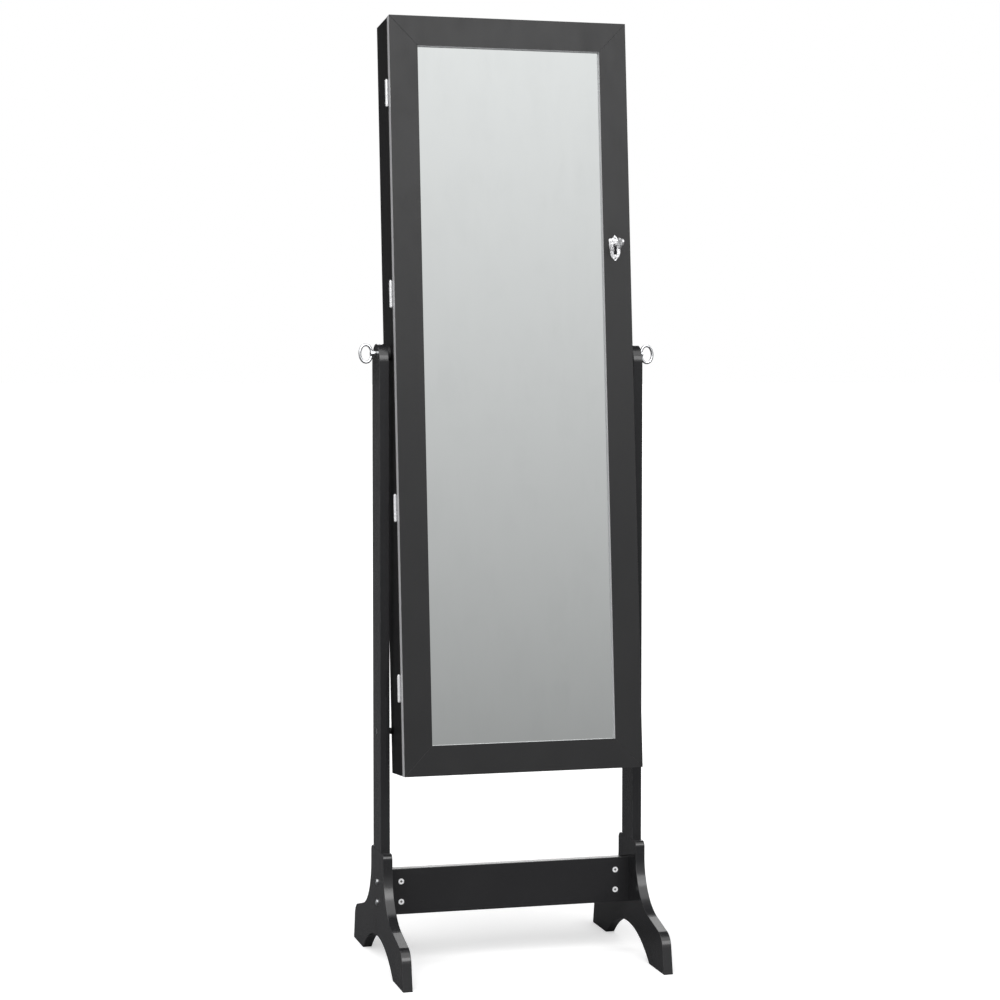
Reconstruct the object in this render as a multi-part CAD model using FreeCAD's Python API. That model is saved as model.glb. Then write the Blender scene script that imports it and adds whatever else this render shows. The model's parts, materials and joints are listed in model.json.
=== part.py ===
import FreeCAD, Part
import math
import os

# Mirrored jewelry armoire: a shallow cabinet with a mirrored door, hung between two posts on foot boards.
# Millimetres. World frame: X = 0 midway between the posts, Y = 0 at the middle of the foot boards, Z = 0 on
# the floor, front towards -Y. Cabinet and door are drawn upright around the pivot axis, then leaned back.

# ---------------------------------------------------------------- driving dimensions
door_width = 380.0            # also the width of the cabinet
above_pivot = 517.0           # cabinet and door, measured up from the pivot axis
below_pivot = 649.0           # and down from it
cabinet_depth = 90.0          # front of the door to the back of the cabinet
board = 15.0                  # board of the stand and of the door frame
side_board = 12.0             # board of the cabinet box
pivot_height = 951.0
pivot_below_post_top = 15.0

# stand
post_gap = 7.0                # between the cabinet's side and a post
post_depth = 54.0
foot_half_length = 184.0
foot_flat = 72.0              # length of each end of a foot board that stands on the floor
arch_height = 43.5
neck_half_depth = 45.0
neck_height = 180.0
neck_shoulder_radius = 9.0
instep_radius = 85.0
instep_angle = 14.0           # fall of the instep line towards the toe, degrees
toe_lean = 11.0               # lean of the toe's end, degrees
toe_height = 57.0
toe_radius = 26.0
stretcher_bottom = 77.0
stretcher_height = 72.0
arris = 0.9                   # small rounding on the lacquered edges

# stand hardware
bolt_radius = 3.0
bolt_clearance = 0.2
bolt_head_radius = 5.0
bolt_head_height = 2.0
bolt_head_rounding = 1.2
bolt_hex_radius = 2.3
bolt_hex_floor = 0.4          # metal left under the head's hexagon socket
bolt_pitch = 32.0
barrel_nut_radius = 4.5
barrel_nut_inset = 22.0       # from the stretcher's end
barrel_nut_cross = 4.0         # the cross recess in its face, from tip to tip
barrel_nut_cross_arm = 1.6
barrel_nut_cross_depth = 2.0
barrel_nut_past_middle = 3.75  # how far a barrel nut reaches behind the stretcher's middle
bolt_past_nut = 4.0
dowel_radius = 4.0
dowel_half_length = 18.0
dowel_pitch = 30.0
peg_height = 365.0
peg_radius = 5.0
peg_reach = 13.0              # how far a stop peg reaches behind the cabinet
peg_gap = 0.3                 # left between the pegs and the cabinet's back
peg_screw_radius = 2.0
peg_screw_head_radius = 4.0
peg_screw_head_depth = 2.4
peg_screw_bite = 11.0
peg_cross_reach = 2.4         # of the cross recess, from the screw's middle
peg_cross_width = 1.0
peg_cross_depth = 0.5

# pivots
ring_shaft_radius = 3.0
bush_clearance = 0.1          # between a ring bolt's shaft and the bush in the post
insert_clearance = 0.06       # between the shaft and the insert in the cabinet's side
bush_radius = 5.0
bush_flange_radius = 11.0
bush_flange_gap = 0.5         # left between the bush's flange and the cabinet
insert_radius = 5.0
collar_radius = 4.8
collar_length = 8.2
collar_gap = 0.4
ring_wire_radius = 2.2
ring_half_width = 11.5        # outside of the oval ring, along the pivot axis
ring_half_height = 15.6       # and across it
ring_centre_out = 15.5        # from the post's outer face
ring_end_radius = 7.6         # of the oval's top and bottom, along the wire's middle
ring_shaft_short = 0.5        # left between the shaft's end and the inside of the cabinet
collar_overlap = 1.0          # of the shaft into its collar
collar_rounding = 1.0

# door
stile_width = 44.0
rail_width = 46.0
lip_depth = 6.0               # frame in front of the mirror
rebate_width = 6.0
rebate_play = 0.5
mirror_thickness = 4.0
backing_thickness = 3.0
lining_thickness = 1.5
frame_arris = 0.8
mitre_groove = 0.3            # depth of the fine groove where the mitred corners meet

# hinges, places measured down from the door's top
hinge_places = (118.0, 428.0, 756.5, 1032.0)
hinge_length = 40.0
hinge_leaf = 0.9
leaf_play = 0.2               # between a closed hinge's leaves
leaf_inset = 0.2              # leaves behind the outer face of the door and cabinet
hinge_leaf_width = 10.3
knuckle_radius = 2.5
knuckle_gap = 0.15
knuckles = 5
pin_radius = 1.25
pin_clearance = 0.05
pin_cap_radius = 2.125
pin_cap_height = 1.25
hinge_screw_radius = 1.25
hinge_screw_head_radius = 2.4
hinge_screw_length = 11.0
hinge_screw_pitch = 24.0

# lock, its keyhole measured down from the door's top
lock_from_top = 350.5
lock_skin = 3.0               # wood left in front of the lock's pocket
lock_case_radius = 11.4
lock_plug_radius = 9.0
plug_clearance = 0.08
plug_front_play = 0.2         # between the plug and the skin in front of it
flange_lip = 0.6              # flange beyond each side of the case
flange_thickness = 1.6
flange_past_screws = 3.5
flange_from_rebate = 0.5      # left between the flange and the mirror's rebate
lock_screw_radius = 1.2
lock_screw_head_radius = 2.3
lock_screw_head_height = 1.2
lock_screw_length = 9.0
lock_screw_wall = 1.9         # wood between a lock screw and the case
plug_back_gap = 9.8           # plug's end behind the door's back
cam_from_outside = 4.5        # left between the cam's tip and the cabinet's outer face
cam_width = 9.0
cam_thickness = 2.0
cam_room = 1.0                # around the cam in its mortise
cam_screw_radius = 3.0
cam_screw_height = 1.6
cam_screw_slot = 0.8          # width and depth of its slot
cam_screw_shank = 1.5         # radius
cam_screw_bite = 6.0
lock_room = 1.5               # between the lock and a shelf or side that is cut away for it
escutcheon_half_width = 9.8
escutcheon_half_height = 20.6
escutcheon_rim = 0.7           # thickness at the edge
escutcheon_margin = 1.2        # edge around the raised field
escutcheon_thickness = 1.3
escutcheon_pin_bite = 1.8
escutcheon_pin_radius = 0.8
escutcheon_pin_head = 1.5      # radius of the domed heads
escutcheon_pin_places = (-0.76, 0.72)      # shares of the half height
keyhole_above_centre = 3.5
keyhole_radius = 3.4
keyhole_slot_half_width = 2.8
keyhole_slot_length = 14.6    # down from the keyhole's centre
keyhole_play = 0.5            # more room for the key in the wood behind the plate
key_shank_radius = 1.8
key_clearance = 0.1
key_bit_thickness = 2.2
key_bit_length = 6.0          # along the key
key_bit_radius = 7.6
key_bit_from_tip = 1.0
key_bit_play = 0.3            # below the bit in the plug
key_end_play = 0.5            # past the key's tip in the plug
key_inside = 13.0             # from the door's front face to the key's tip
key_neck = 18.0               # shank outside the door
key_bow_length = 25.0
key_bow_height = 18.0
key_bow_thickness = 2.6
key_lobe_share = 0.29         # a lobe's radius as a share of the bow's height
key_lobe_hole_share = 0.15
key_middle_share = 0.319
key_stem_half_width = 1.5
key_collar_rise = 0.9
key_collar_width = 1.6
key_collar_places = (1.0, 4.0)       # from the bow's end of the shank
strike_plate_size = (18.0, 46.0, 1.0)

# cabinet inside
back_thickness = 4.0
back_rebate = 6.0
shelf_thickness = 9.0
shelf_setback = 6.0           # shelves behind the box's front edge
shelf_tops = (190.0, 95.0, -25.0, -140.0, -255.0, -455.0)     # heights from the pivot axis
railed_shelves = (-140.0, -255.0)
shelf_rail_height = 24.0
shelf_rail_thickness = 4.0
shelf_rail_rounding = 1.5
bin_rail_height = 70.0
ring_roll_count = 4
ring_roll_height = 20.0
ring_roll_gap = 0.6
ring_roll_end_gap = 1.0
ring_roll_rounding = 0.42     # share of a roll's width
bar_count = 3
bar_height = 8.0
bar_thickness = 6.0
bar_notches = 14
notch_width = 1.6
notch_depth = 3.0
hook_rail_height = 20.0
hook_rail_thickness = 8.0
hook_rail_drop = 25.0         # below the top panel
hook_count = 12
hook_radius = 1.5
hook_reach = 16.0
hook_rise = 6.0
door_hook_rail_width = 250.0
door_hook_rail_thickness = 7.0
door_hook_rail_height = 18.0
door_hook_rail_rounding = 2.0
door_hook_count = 10
door_hook_reach = 12.0
rod_radius = 5.0
rod_drop = 45.0               # below the shelf above it
rod_socket_radius = 9.0
rod_socket_thickness = 5.0
rod_end_gap = 1.0             # between the rod's end and the cabinet's side
bumper_radius = 4.0
bumper_gap = 0.4
magnet_size = (34.0, 14.0, 12.0)
magnet_gap = 0.5
magnet_plate_thickness = 1.0
magnet_inset = 40.0

# ---------------------------------------------------------------- worked out
beyond = 1.0                  # how far a cutting shape runs past what it cuts
half_width = door_width / 2
post_inner = half_width + post_gap
post_outer = post_inner + board
post_top = pivot_height + pivot_below_post_top
door_front = -cabinet_depth / 2
door_back = door_front + board
box_front = door_back + 2 * hinge_leaf + leaf_play
box_back = cabinet_depth / 2
box_inside = half_width - side_board
back_face = box_back - back_thickness
top_inside = above_pivot - side_board
bottom_inside = -below_pivot + side_board
shelf_front = box_front + shelf_setback
opening_half_width = half_width - stile_width
opening_top = above_pivot - rail_width
opening_bottom = -below_pivot + rail_width
mirror_front = door_front + lip_depth
hinge_x = -half_width - knuckle_radius
hinge_y = (door_back + box_front) / 2
leaf_edge = -half_width + leaf_inset
flange_half_width = lock_case_radius + flange_lip
lock_x = opening_half_width + rebate_width + flange_from_rebate + flange_half_width
cam_length = half_width - cam_from_outside - lock_x
lock_screw_from_middle = lock_case_radius + lock_screw_radius + lock_screw_wall
lock_z = above_pivot - lock_from_top
plug_back = door_back + plug_back_gap
lean = math.asin((cabinet_depth / 2 + peg_radius + peg_gap) / (pivot_height - peg_height))

escutcheon_shoulder = ((0.0, 1.0), (0.26, 0.8), (0.6, 0.67))       # shares of its half width and height
escutcheon_corner = ((0.6, 0.67), (0.86, 0.68), (1.0, 0.56))
escutcheon_waist = ((1.0, 0.56), (0.97, 0.0), (0.85, -0.1))
escutcheon_hip = ((0.85, -0.1), (0.84, -0.38), (0.7, -0.62))
escutcheon_tip = ((0.7, -0.62), (0.35, -0.85), (0.0, -1.0))
escutcheon_tip_share = 1.6    # more margin at the points than at the sides

AXIS_X = FreeCAD.Vector(1, 0, 0)
AXIS_Y = FreeCAD.Vector(0, 1, 0)
AXIS_Z = FreeCAD.Vector(0, 0, 1)


# ---------------------------------------------------------------- helpers
def box(x0, x1, y0, y1, z0, z1):
    return Part.makeBox(x1 - x0, y1 - y0, z1 - z0, FreeCAD.Vector(x0, y0, z0))


def rod(radius, start, axis, length):
    return Part.makeCylinder(radius, length, FreeCAD.Vector(*start), axis)


def span_x(radius, x0, x1, y, z):
    return rod(radius, (min(x0, x1), y, z), AXIS_X, abs(x1 - x0))


def span_y(radius, x, y0, y1, z):
    return rod(radius, (x, y0, z), AXIS_Y, y1 - y0)


def span_z(radius, x, y, z0, z1):
    return rod(radius, (x, y, z0), AXIS_Z, z1 - z0)


def joined(shapes):
    whole = shapes[0]
    for shape in shapes[1:]:
        whole = whole.fuse(shape)
    return whole.removeSplitter()


def group(shapes):
    return Part.makeCompound(shapes)


def rounded_loop(corners, place):
    """Closed wire through corners (a, b, radius), each corner rounded; place(a, b) gives the 3-D point."""
    count = len(corners)
    cuts = []
    for i, (a, b, radius) in enumerate(corners):
        here = FreeCAD.Vector(a, b, 0)
        before = FreeCAD.Vector(*corners[i - 1][:2], 0) - here
        after = FreeCAD.Vector(*corners[(i + 1) % count][:2], 0) - here
        before.normalize()
        after.normalize()
        half_angle = before.getAngle(after) / 2
        setback = radius / math.tan(half_angle)
        middle = (before + after).normalize() * (radius / math.sin(half_angle) - radius)
        cuts.append((here + before * setback, here + middle, here + after * setback, radius))
    edges = []
    for i in range(count):
        start, middle, end, radius = cuts[i]
        if radius > 0:
            arc = Part.Arc(place(start.x, start.y), place(middle.x, middle.y), place(end.x, end.y))
            edges.append(arc.toShape())
        edges.append(Part.LineSegment(place(end.x, end.y), place(*cuts[(i + 1) % count][0][:2])).toShape())
    return Part.Wire(edges)


def plate_yz(corners, x0, x1):
    """Board whose outline lies in the YZ plane."""
    wire = rounded_loop(corners, lambda y, z: FreeCAD.Vector(x0, y, z))
    return Part.Face(wire).extrude(FreeCAD.Vector(x1 - x0, 0, 0))


def plate_xz(corners, y0, y1):
    """Board whose outline lies in the XZ plane."""
    wire = rounded_loop([(x, z, 0) for x, z in corners], lambda x, z: FreeCAD.Vector(x, y0, z))
    return Part.Face(wire).extrude(FreeCAD.Vector(0, y1 - y0, 0))


def leaned(shape):
    """Moves a shape drawn upright around the pivot axis to where it rests in the stand."""
    turn = FreeCAD.Rotation(AXIS_X, -math.degrees(lean))
    moved = shape.copy()
    moved.Placement = FreeCAD.Placement(FreeCAD.Vector(0, 0, pivot_height), turn).multiply(moved.Placement)
    return moved


def eased(shape, radius, wanted):
    """Rounds the edges that wanted(edge) picks."""
    return shape.makeFillet(radius, [edge for edge in shape.Edges if wanted(edge)])


def runs_along(edge, axis):
    """True for a straight edge along axis."""
    if not isinstance(edge.Curve, Part.Line):
        return False
    return abs(abs(edge.Curve.Direction.dot(axis)) - 1) < 1e-6


def lies_at_x(edge, x):
    box_of_edge = edge.BoundBox
    return abs(box_of_edge.XMin - x) < 1e-4 and abs(box_of_edge.XMax - x) < 1e-4


# ---------------------------------------------------------------- stand
def bolt_heights():
    middle = stretcher_bottom + stretcher_height / 2
    return (middle - bolt_pitch / 2, middle + bolt_pitch / 2)


def foot_corners():
    """One side of a foot board's outline, from the neck to the floor."""
    instep = math.tan(math.radians(instep_angle))
    toe = foot_half_length - toe_height * math.tan(math.radians(toe_lean))
    neck_foot = toe_height + instep * (toe - neck_half_depth)
    return [(neck_half_depth, neck_height, neck_shoulder_radius),
            (neck_half_depth, neck_foot, instep_radius),
            (toe, toe_height, toe_radius),
            (foot_half_length, 0.0, 0.0)]


def foot_board(side):
    x0, x1 = sorted((side * post_inner, side * post_outer))
    half = foot_corners()
    other = [(-y, z, radius) for y, z, radius in reversed(half)]
    foot = plate_yz(half + other, x0, x1)
    arch_half = foot_half_length - foot_flat
    arch_radius = (arch_half ** 2 + arch_height ** 2) / (2 * arch_height)
    foot = foot.cut(span_x(arch_radius, x0 - beyond, x1 + beyond, 0, arch_height - arch_radius))
    foot = eased(foot, arris, lambda edge: lies_at_x(edge, x0) or lies_at_x(edge, x1))
    for z in bolt_heights():
        foot = foot.cut(span_x(bolt_radius + bolt_clearance, x0 - beyond, x1 + beyond, 0, z))
    for y in (-dowel_pitch / 2, dowel_pitch / 2):
        middle = (x0 + x1) / 2
        foot = foot.cut(span_z(dowel_radius, middle, y, neck_height - dowel_half_length, neck_height))
    return foot


def post(side):
    x0, x1 = sorted((side * post_inner, side * post_outer))
    half = post_depth / 2
    shaft = box(x0, x1, -half, half, neck_height, post_top - half)
    head = span_x(half, x0, x1, 0, post_top - half)
    body = joined([shaft, head])

    def outside(edge):
        return (lies_at_x(edge, x0) or lies_at_x(edge, x1)) and edge.BoundBox.ZMax > neck_height + beyond
    body = eased(body, arris, outside)
    body = body.cut(span_x(bush_radius, x0 - beyond, x1 + beyond, 0, pivot_height))
    body = body.cut(span_x(peg_screw_radius, x0 - beyond, x1 + beyond, 0, peg_height))
    body = body.cut(screw_head(side, peg_screw_head_radius, peg_screw_head_depth))
    for y in (-dowel_pitch / 2, dowel_pitch / 2):
        middle = (x0 + x1) / 2
        body = body.cut(span_z(dowel_radius, middle, y, neck_height, neck_height + dowel_half_length))
    return body


def screw_head(side, radius, depth):
    """Countersunk head of a stop peg's screw, flush with the post's outer face."""
    return Part.makeCone(radius, peg_screw_radius, depth,
                         FreeCAD.Vector(side * post_outer, 0, peg_height), AXIS_X * -side)


def post_dowels():
    middle = (post_inner + post_outer) / 2
    return group([span_z(dowel_radius, side * middle, y, neck_height - dowel_half_length,
                         neck_height + dowel_half_length)
                  for side in (-1, 1) for y in (-dowel_pitch / 2, dowel_pitch / 2)])


def stretcher_board():
    top = stretcher_bottom + stretcher_height
    bar = box(-post_inner, post_inner, -board / 2, board / 2, stretcher_bottom, top)
    bar = eased(bar, arris, lambda edge: runs_along(edge, AXIS_X))
    for side in (-1, 1):
        nut_x = side * (post_inner - barrel_nut_inset)
        for z in bolt_heights():
            bolt_end = side * (post_inner - barrel_nut_inset - barrel_nut_radius - bolt_past_nut)
            bar = bar.cut(span_x(bolt_radius, side * post_inner, bolt_end, 0, z))
            bar = bar.cut(span_y(barrel_nut_radius, nut_x, -board / 2, barrel_nut_past_middle, z))
    return bar


def stretcher_bolts():
    bolts = []
    for side in (-1, 1):
        for z in bolt_heights():
            end = side * (post_inner - barrel_nut_inset - barrel_nut_radius - bolt_past_nut)
            shank = span_x(bolt_radius, side * post_outer, end, 0, z)
            head_top = side * (post_outer + bolt_head_height)
            head = span_x(bolt_head_radius, side * post_outer, head_top, 0, z)
            rim = [edge for edge in head.Edges if lies_at_x(edge, head_top)]
            head = head.makeFillet(bolt_head_rounding, rim)
            hexagon = Part.makePolygon([FreeCAD.Vector(side * (post_outer + bolt_hex_floor),
                                                       bolt_hex_radius * math.cos(k * math.pi / 3),
                                                       z + bolt_hex_radius * math.sin(k * math.pi / 3))
                                        for k in range(7)])
            socket = Part.Face(hexagon).extrude(AXIS_X * (side * bolt_head_height))
            bolts.append(joined([shank, head]).cut(socket))
    return group(bolts)


def barrel_nuts():
    arm, reach = barrel_nut_cross_arm / 2, barrel_nut_cross / 2
    bottom = -board / 2 + barrel_nut_cross_depth
    nuts = []
    for side in (-1, 1):
        x = side * (post_inner - barrel_nut_inset)
        for z in bolt_heights():
            nut = span_y(barrel_nut_radius, x, -board / 2, barrel_nut_past_middle, z)
            nut = nut.cut(span_x(bolt_radius, x - board, x + board, 0, z))
            level = box(x - reach, x + reach, -board / 2 - beyond, bottom, z - arm, z + arm)
            upright = box(x - arm, x + arm, -board / 2 - beyond, bottom, z - reach, z + reach)
            nuts.append(nut.cut(level).cut(upright))
    return group(nuts)


def stop_pegs():
    pegs = []
    for side in (-1, 1):
        peg = span_x(peg_radius, side * post_inner, side * (half_width - peg_reach), 0, peg_height)
        bite = side * (post_inner - peg_screw_bite)
        pegs.append(peg.cut(span_x(peg_screw_radius, side * post_inner, bite, 0, peg_height)))
    return group(pegs)


def stop_peg_screws():
    screws = []
    for side in (-1, 1):
        bite = side * (post_inner - peg_screw_bite)
        shank = span_x(peg_screw_radius, side * post_outer, bite, 0, peg_height)
        screw = joined([shank, screw_head(side, peg_screw_head_radius, peg_screw_head_depth)])
        for turned in (0, 90):
            cross = box(-peg_cross_depth, peg_cross_depth, -peg_cross_reach, peg_cross_reach,
                        -peg_cross_width / 2, peg_cross_width / 2)
            cross.rotate(FreeCAD.Vector(0, 0, 0), AXIS_X, turned)
            cross.translate(FreeCAD.Vector(side * post_outer, 0, peg_height))
            screw = screw.cut(cross)
        screws.append(screw)
    return group(screws)


def pivot_bushes():
    bushes = []
    for side in (-1, 1):
        sleeve = span_x(bush_radius, side * post_inner, side * post_outer, 0, pivot_height)
        flange = span_x(bush_flange_radius, side * post_inner, side * (half_width + bush_flange_gap), 0,
                        pivot_height)
        bore = span_x(ring_shaft_radius + bush_clearance, side * half_width, side * (post_outer + beyond), 0,
                      pivot_height)
        bushes.append(joined([sleeve, flange]).cut(bore))
    return group(bushes)


# ---------------------------------------------------------------- ring bolts, drawn around the pivot axis
def ring_path(x):
    """Oval in the XZ plane around (x, 0, 0): small arcs at the top and bottom, tangent to large ones."""
    a = ring_half_height - ring_wire_radius
    b = ring_half_width - ring_wire_radius
    small = ring_end_radius
    large = (b ** 2 + (a - small) ** 2 - small ** 2) / (2 * (b - small))
    turn = math.atan2(a - small, large - b)
    join_x, join_z = b - large + large * math.cos(turn), large * math.sin(turn)

    def spot(u, v):
        return FreeCAD.Vector(x + u, 0, v)
    corners = [(join_x, join_z), (-join_x, join_z), (-join_x, -join_z), (join_x, -join_z)]
    middles = [(0, a), (-b, 0), (0, -a), (b, 0)]
    top, left, bottom, right = [Part.Arc(spot(*corners[k]), spot(*middles[k]),
                                         spot(*corners[(k + 1) % 4])).toShape() for k in range(4)]
    return Part.Wire([top, left, bottom, right])


def ring_bolt(side):
    collar_start = post_outer + collar_gap
    shaft = span_x(ring_shaft_radius, side * (box_inside + ring_shaft_short),
                   side * (collar_start + collar_overlap), 0, 0)
    collar = span_x(collar_radius, side * collar_start, side * (collar_start + collar_length), 0, 0)
    rim = [edge for edge in collar.Edges if lies_at_x(edge, side * (collar_start + collar_length))]
    collar = collar.makeFillet(collar_rounding, rim)
    path = ring_path(side * (post_outer + ring_centre_out))
    first = path.Edges[0]
    start = first.valueAt(first.FirstParameter)
    section = Part.Wire([Part.makeCircle(ring_wire_radius, start, first.tangentAt(first.FirstParameter))])
    ring = path.makePipeShell([section], True, False)
    return joined([shaft, collar, ring])


# ---------------------------------------------------------------- cabinet box
def side_panel(side):
    x0, x1 = sorted((side * half_width, side * box_inside))
    panel = box(x0, x1, box_front, box_back, -below_pivot, above_pivot)
    outer = side * half_width
    panel = eased(panel, arris, lambda edge: lies_at_x(edge, outer))
    r0, r1 = sorted((side * box_inside, side * (box_inside + back_rebate)))
    panel = panel.cut(box(r0, r1, back_face, box_back, bottom_inside - back_rebate, top_inside + back_rebate))
    panel = panel.cut(span_x(insert_radius, x0 - beyond, x1 + beyond, 0, 0))
    if side > 0:
        panel = panel.cut(cam_slot()).cut(strike_outline()).cut(plug_hollow())
    return panel


def end_panel(z0, z1, rebate_z):
    panel = box(-box_inside, box_inside, box_front, box_back, z0, z1)
    low, high = sorted((rebate_z, rebate_z + math.copysign(back_rebate, rebate_z)))
    return panel.cut(box(-box_inside, box_inside, back_face, box_back, low, high))


def top_panel():
    return end_panel(top_inside, above_pivot, top_inside)


def bottom_panel():
    return end_panel(-below_pivot, bottom_inside, bottom_inside)


def back_panel():
    reach = box_inside + back_rebate
    return box(-reach, reach, back_face, box_back, bottom_inside - back_rebate, top_inside + back_rebate)


def compartments():
    """Free height of each compartment from the top down, as (floor, ceiling)."""
    floors = list(shelf_tops) + [bottom_inside]
    ceilings = [top_inside] + [top - shelf_thickness for top in shelf_tops]
    return list(zip(floors, ceilings))


def back_linings():
    return group([box(-box_inside, box_inside, back_face - lining_thickness, back_face, floor, ceiling)
                  for floor, ceiling in compartments()])


def lock_depth():
    return plug_back + cam_thickness + cam_screw_height + lock_room


def plug_hollow():
    """Round room for the lock's plug where it comes close to the cabinet's side."""
    return span_y(lock_plug_radius + lock_room, lock_x, box_front - beyond, lock_depth(), lock_z)


def notched(shape):
    """Cuts room for the lock from a shelf or rail that comes near it."""
    around = lock_plug_radius + lock_room
    above = lock_z + around
    below = lock_z - max(around, cam_length + lock_room)
    return shape.cut(box(lock_x - around, box_inside + beyond, box_front, lock_depth(), below, above))


def shelf_boards():
    return group([notched(box(-box_inside, box_inside, shelf_front, back_face, top - shelf_thickness, top))
                  for top in shelf_tops])


def shelf_linings():
    front = shelf_front + shelf_rail_thickness
    return group([box(-box_inside, box_inside, front, back_face - lining_thickness, floor,
                      floor + lining_thickness) for floor, ceiling in compartments()])


def shelf_rail(floor, height):
    back = shelf_front + shelf_rail_thickness
    rail = box(-box_inside, box_inside, shelf_front, back, floor, floor + height)
    top = floor + height
    return notched(eased(rail, shelf_rail_rounding,
                         lambda edge: runs_along(edge, AXIS_X) and edge.BoundBox.ZMin > top - beyond))


def shelf_rails():
    return group([shelf_rail(floor, shelf_rail_height) for floor in railed_shelves])


def bin_front():
    return shelf_rail(bottom_inside, bin_rail_height)


def ring_rolls():
    """Padded rolls that hold rings between them, on the second shelf."""
    floor = shelf_tops[1] + lining_thickness
    front = shelf_front + shelf_rail_thickness + ring_roll_gap
    pitch = (back_face - lining_thickness - front) / ring_roll_count
    width = pitch - ring_roll_gap
    rolls = []
    for k in range(ring_roll_count):
        y0 = front + k * pitch
        half = box_inside - ring_roll_end_gap
        block = box(-half, half, y0, y0 + width, floor, floor + ring_roll_height)
        rolls.append(eased(block, width * ring_roll_rounding, lambda edge: runs_along(edge, AXIS_X)
                           and edge.BoundBox.ZMin > floor + beyond))
    return group(rolls)


def earring_bars():
    """Bars across the third compartment with notches for earring hooks, stepped up towards the back."""
    floor, ceiling = compartments()[2]
    bars = []
    for k in range(bar_count):
        step = (k + 1) / (bar_count + 1)
        y = shelf_front + step * (back_face - shelf_front)
        z = floor + step * (ceiling - floor)
        bar = box(-box_inside, box_inside, y, y + bar_thickness, z, z + bar_height)
        for n in range(bar_notches):
            x = box_inside * (2 * (n + 0.5) / bar_notches - 1)
            bar = bar.cut(box(x - notch_width / 2, x + notch_width / 2, y - beyond,
                              y + bar_thickness + beyond, z + bar_height - notch_depth,
                              z + bar_height + beyond))
        bars.append(bar)
    return group(bars)


def hook(x, y, z, reach, rise):
    """Pin that points to the front and turns up at its end."""
    elbow = FreeCAD.Vector(x, y - reach, z)
    return joined([span_y(hook_radius, x, y - reach, y, z), Part.makeSphere(hook_radius, elbow),
                   span_z(hook_radius, x, y - reach, z, z + rise),
                   Part.makeSphere(hook_radius, elbow + AXIS_Z * rise)])


def hook_rail_top():
    return top_inside - hook_rail_drop


def hook_rail():
    back = back_face - lining_thickness
    return box(-box_inside, box_inside, back - hook_rail_thickness, back,
               hook_rail_top() - hook_rail_height, hook_rail_top())


def necklace_hooks():
    face = back_face - lining_thickness - hook_rail_thickness
    z = hook_rail_top() - hook_rail_height / 2
    pitch = 2 * box_inside / hook_count
    return group([hook(-box_inside + (k + 0.5) * pitch, face, z, hook_reach, hook_rise)
                  for k in range(hook_count)])


def rod_height():
    return compartments()[5][1] - rod_drop


def rod_depth():
    return (shelf_front + back_face) / 2


def bracelet_rod():
    half = box_inside - rod_end_gap
    return span_x(rod_radius, -half, half, rod_depth(), rod_height())


def rod_sockets():
    sockets = []
    for side in (-1, 1):
        socket = span_x(rod_socket_radius, side * box_inside, side * (box_inside - rod_socket_thickness),
                        rod_depth(), rod_height())
        sockets.append(socket.cut(span_x(rod_radius, side * (box_inside - rod_end_gap), 0, rod_depth(),
                                         rod_height())))
    return group(sockets)


def pivot_inserts():
    inserts = []
    for side in (-1, 1):
        sleeve = span_x(insert_radius, side * box_inside, side * half_width, 0, 0)
        inserts.append(sleeve.cut(span_x(ring_shaft_radius + insert_clearance, 0, side * post_outer, 0, 0)))
    return group(inserts)


def cam_slot():
    """Mortise in the right side that the lock's cam turns into."""
    top = lock_z + cam_width / 2 + cam_room
    bottom = lock_z - cam_length
    reach = lock_x + cam_length + cam_room
    return box(box_inside - beyond, reach, plug_back - cam_room, plug_back + cam_thickness + cam_room,
               bottom, top)


def strike_outline():
    depth, height, thickness = strike_plate_size
    middle = plug_back + cam_thickness / 2
    return box(box_inside, box_inside + thickness, middle - depth / 2, middle + depth / 2,
               lock_z - cam_length / 2 - height / 2, lock_z - cam_length / 2 + height / 2)


def strike_plate():
    return strike_outline().cut(cam_slot()).cut(plug_hollow())


def door_bumpers():
    x = half_width - side_board / 2
    inset = side_board
    return group([span_y(bumper_radius, x, door_back + bumper_gap, box_front, z)
                  for z in (above_pivot - inset, -below_pivot + inset)])


def magnet_catch():
    width, height, depth = magnet_size
    x1 = box_inside - magnet_inset
    return box(x1 - width, x1, door_back + magnet_plate_thickness + magnet_gap,
               door_back + magnet_plate_thickness + magnet_gap + depth, top_inside - height, top_inside)


def magnet_plate():
    width, height, depth = magnet_size
    x1 = box_inside - magnet_inset
    return box(x1 - width, x1, door_back, door_back + magnet_plate_thickness, top_inside - height, top_inside)


# ---------------------------------------------------------------- hinges
def hinge_heights():
    return [above_pivot - place for place in hinge_places]


def knuckle_spans(middle, first):
    """Height ranges of every second knuckle of a hinge, counted from its lower end."""
    pitch = hinge_length / knuckles
    low = middle - hinge_length / 2
    return [(low + k * pitch + knuckle_gap / 2, low + (k + 1) * pitch - knuckle_gap / 2)
            for k in range(first, knuckles, 2)]


def hinge_leaf_half(middle, first, y0, y1, bore_radius):
    low, high = middle - hinge_length / 2, middle + hinge_length / 2
    parts = [box(leaf_edge, leaf_edge + hinge_leaf_width, y0, y1, low, high)]
    for z0, z1 in knuckle_spans(middle, first):
        barrel = span_z(knuckle_radius, hinge_x, hinge_y, z0, z1)
        parts.append(barrel)
        parts.append(box(hinge_x, leaf_edge, y0, y1, z0, z1))
    leaf = joined(parts)
    leaf = leaf.cut(span_z(bore_radius, hinge_x, hinge_y, low - beyond, high + beyond))
    for z in screw_heights(middle):
        leaf = leaf.cut(span_y(hinge_screw_radius, hinge_screw_x(), y0 - beyond, y1 + beyond, z))
    return leaf


def hinge_screw_x():
    return leaf_edge + hinge_leaf_width / 2


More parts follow.
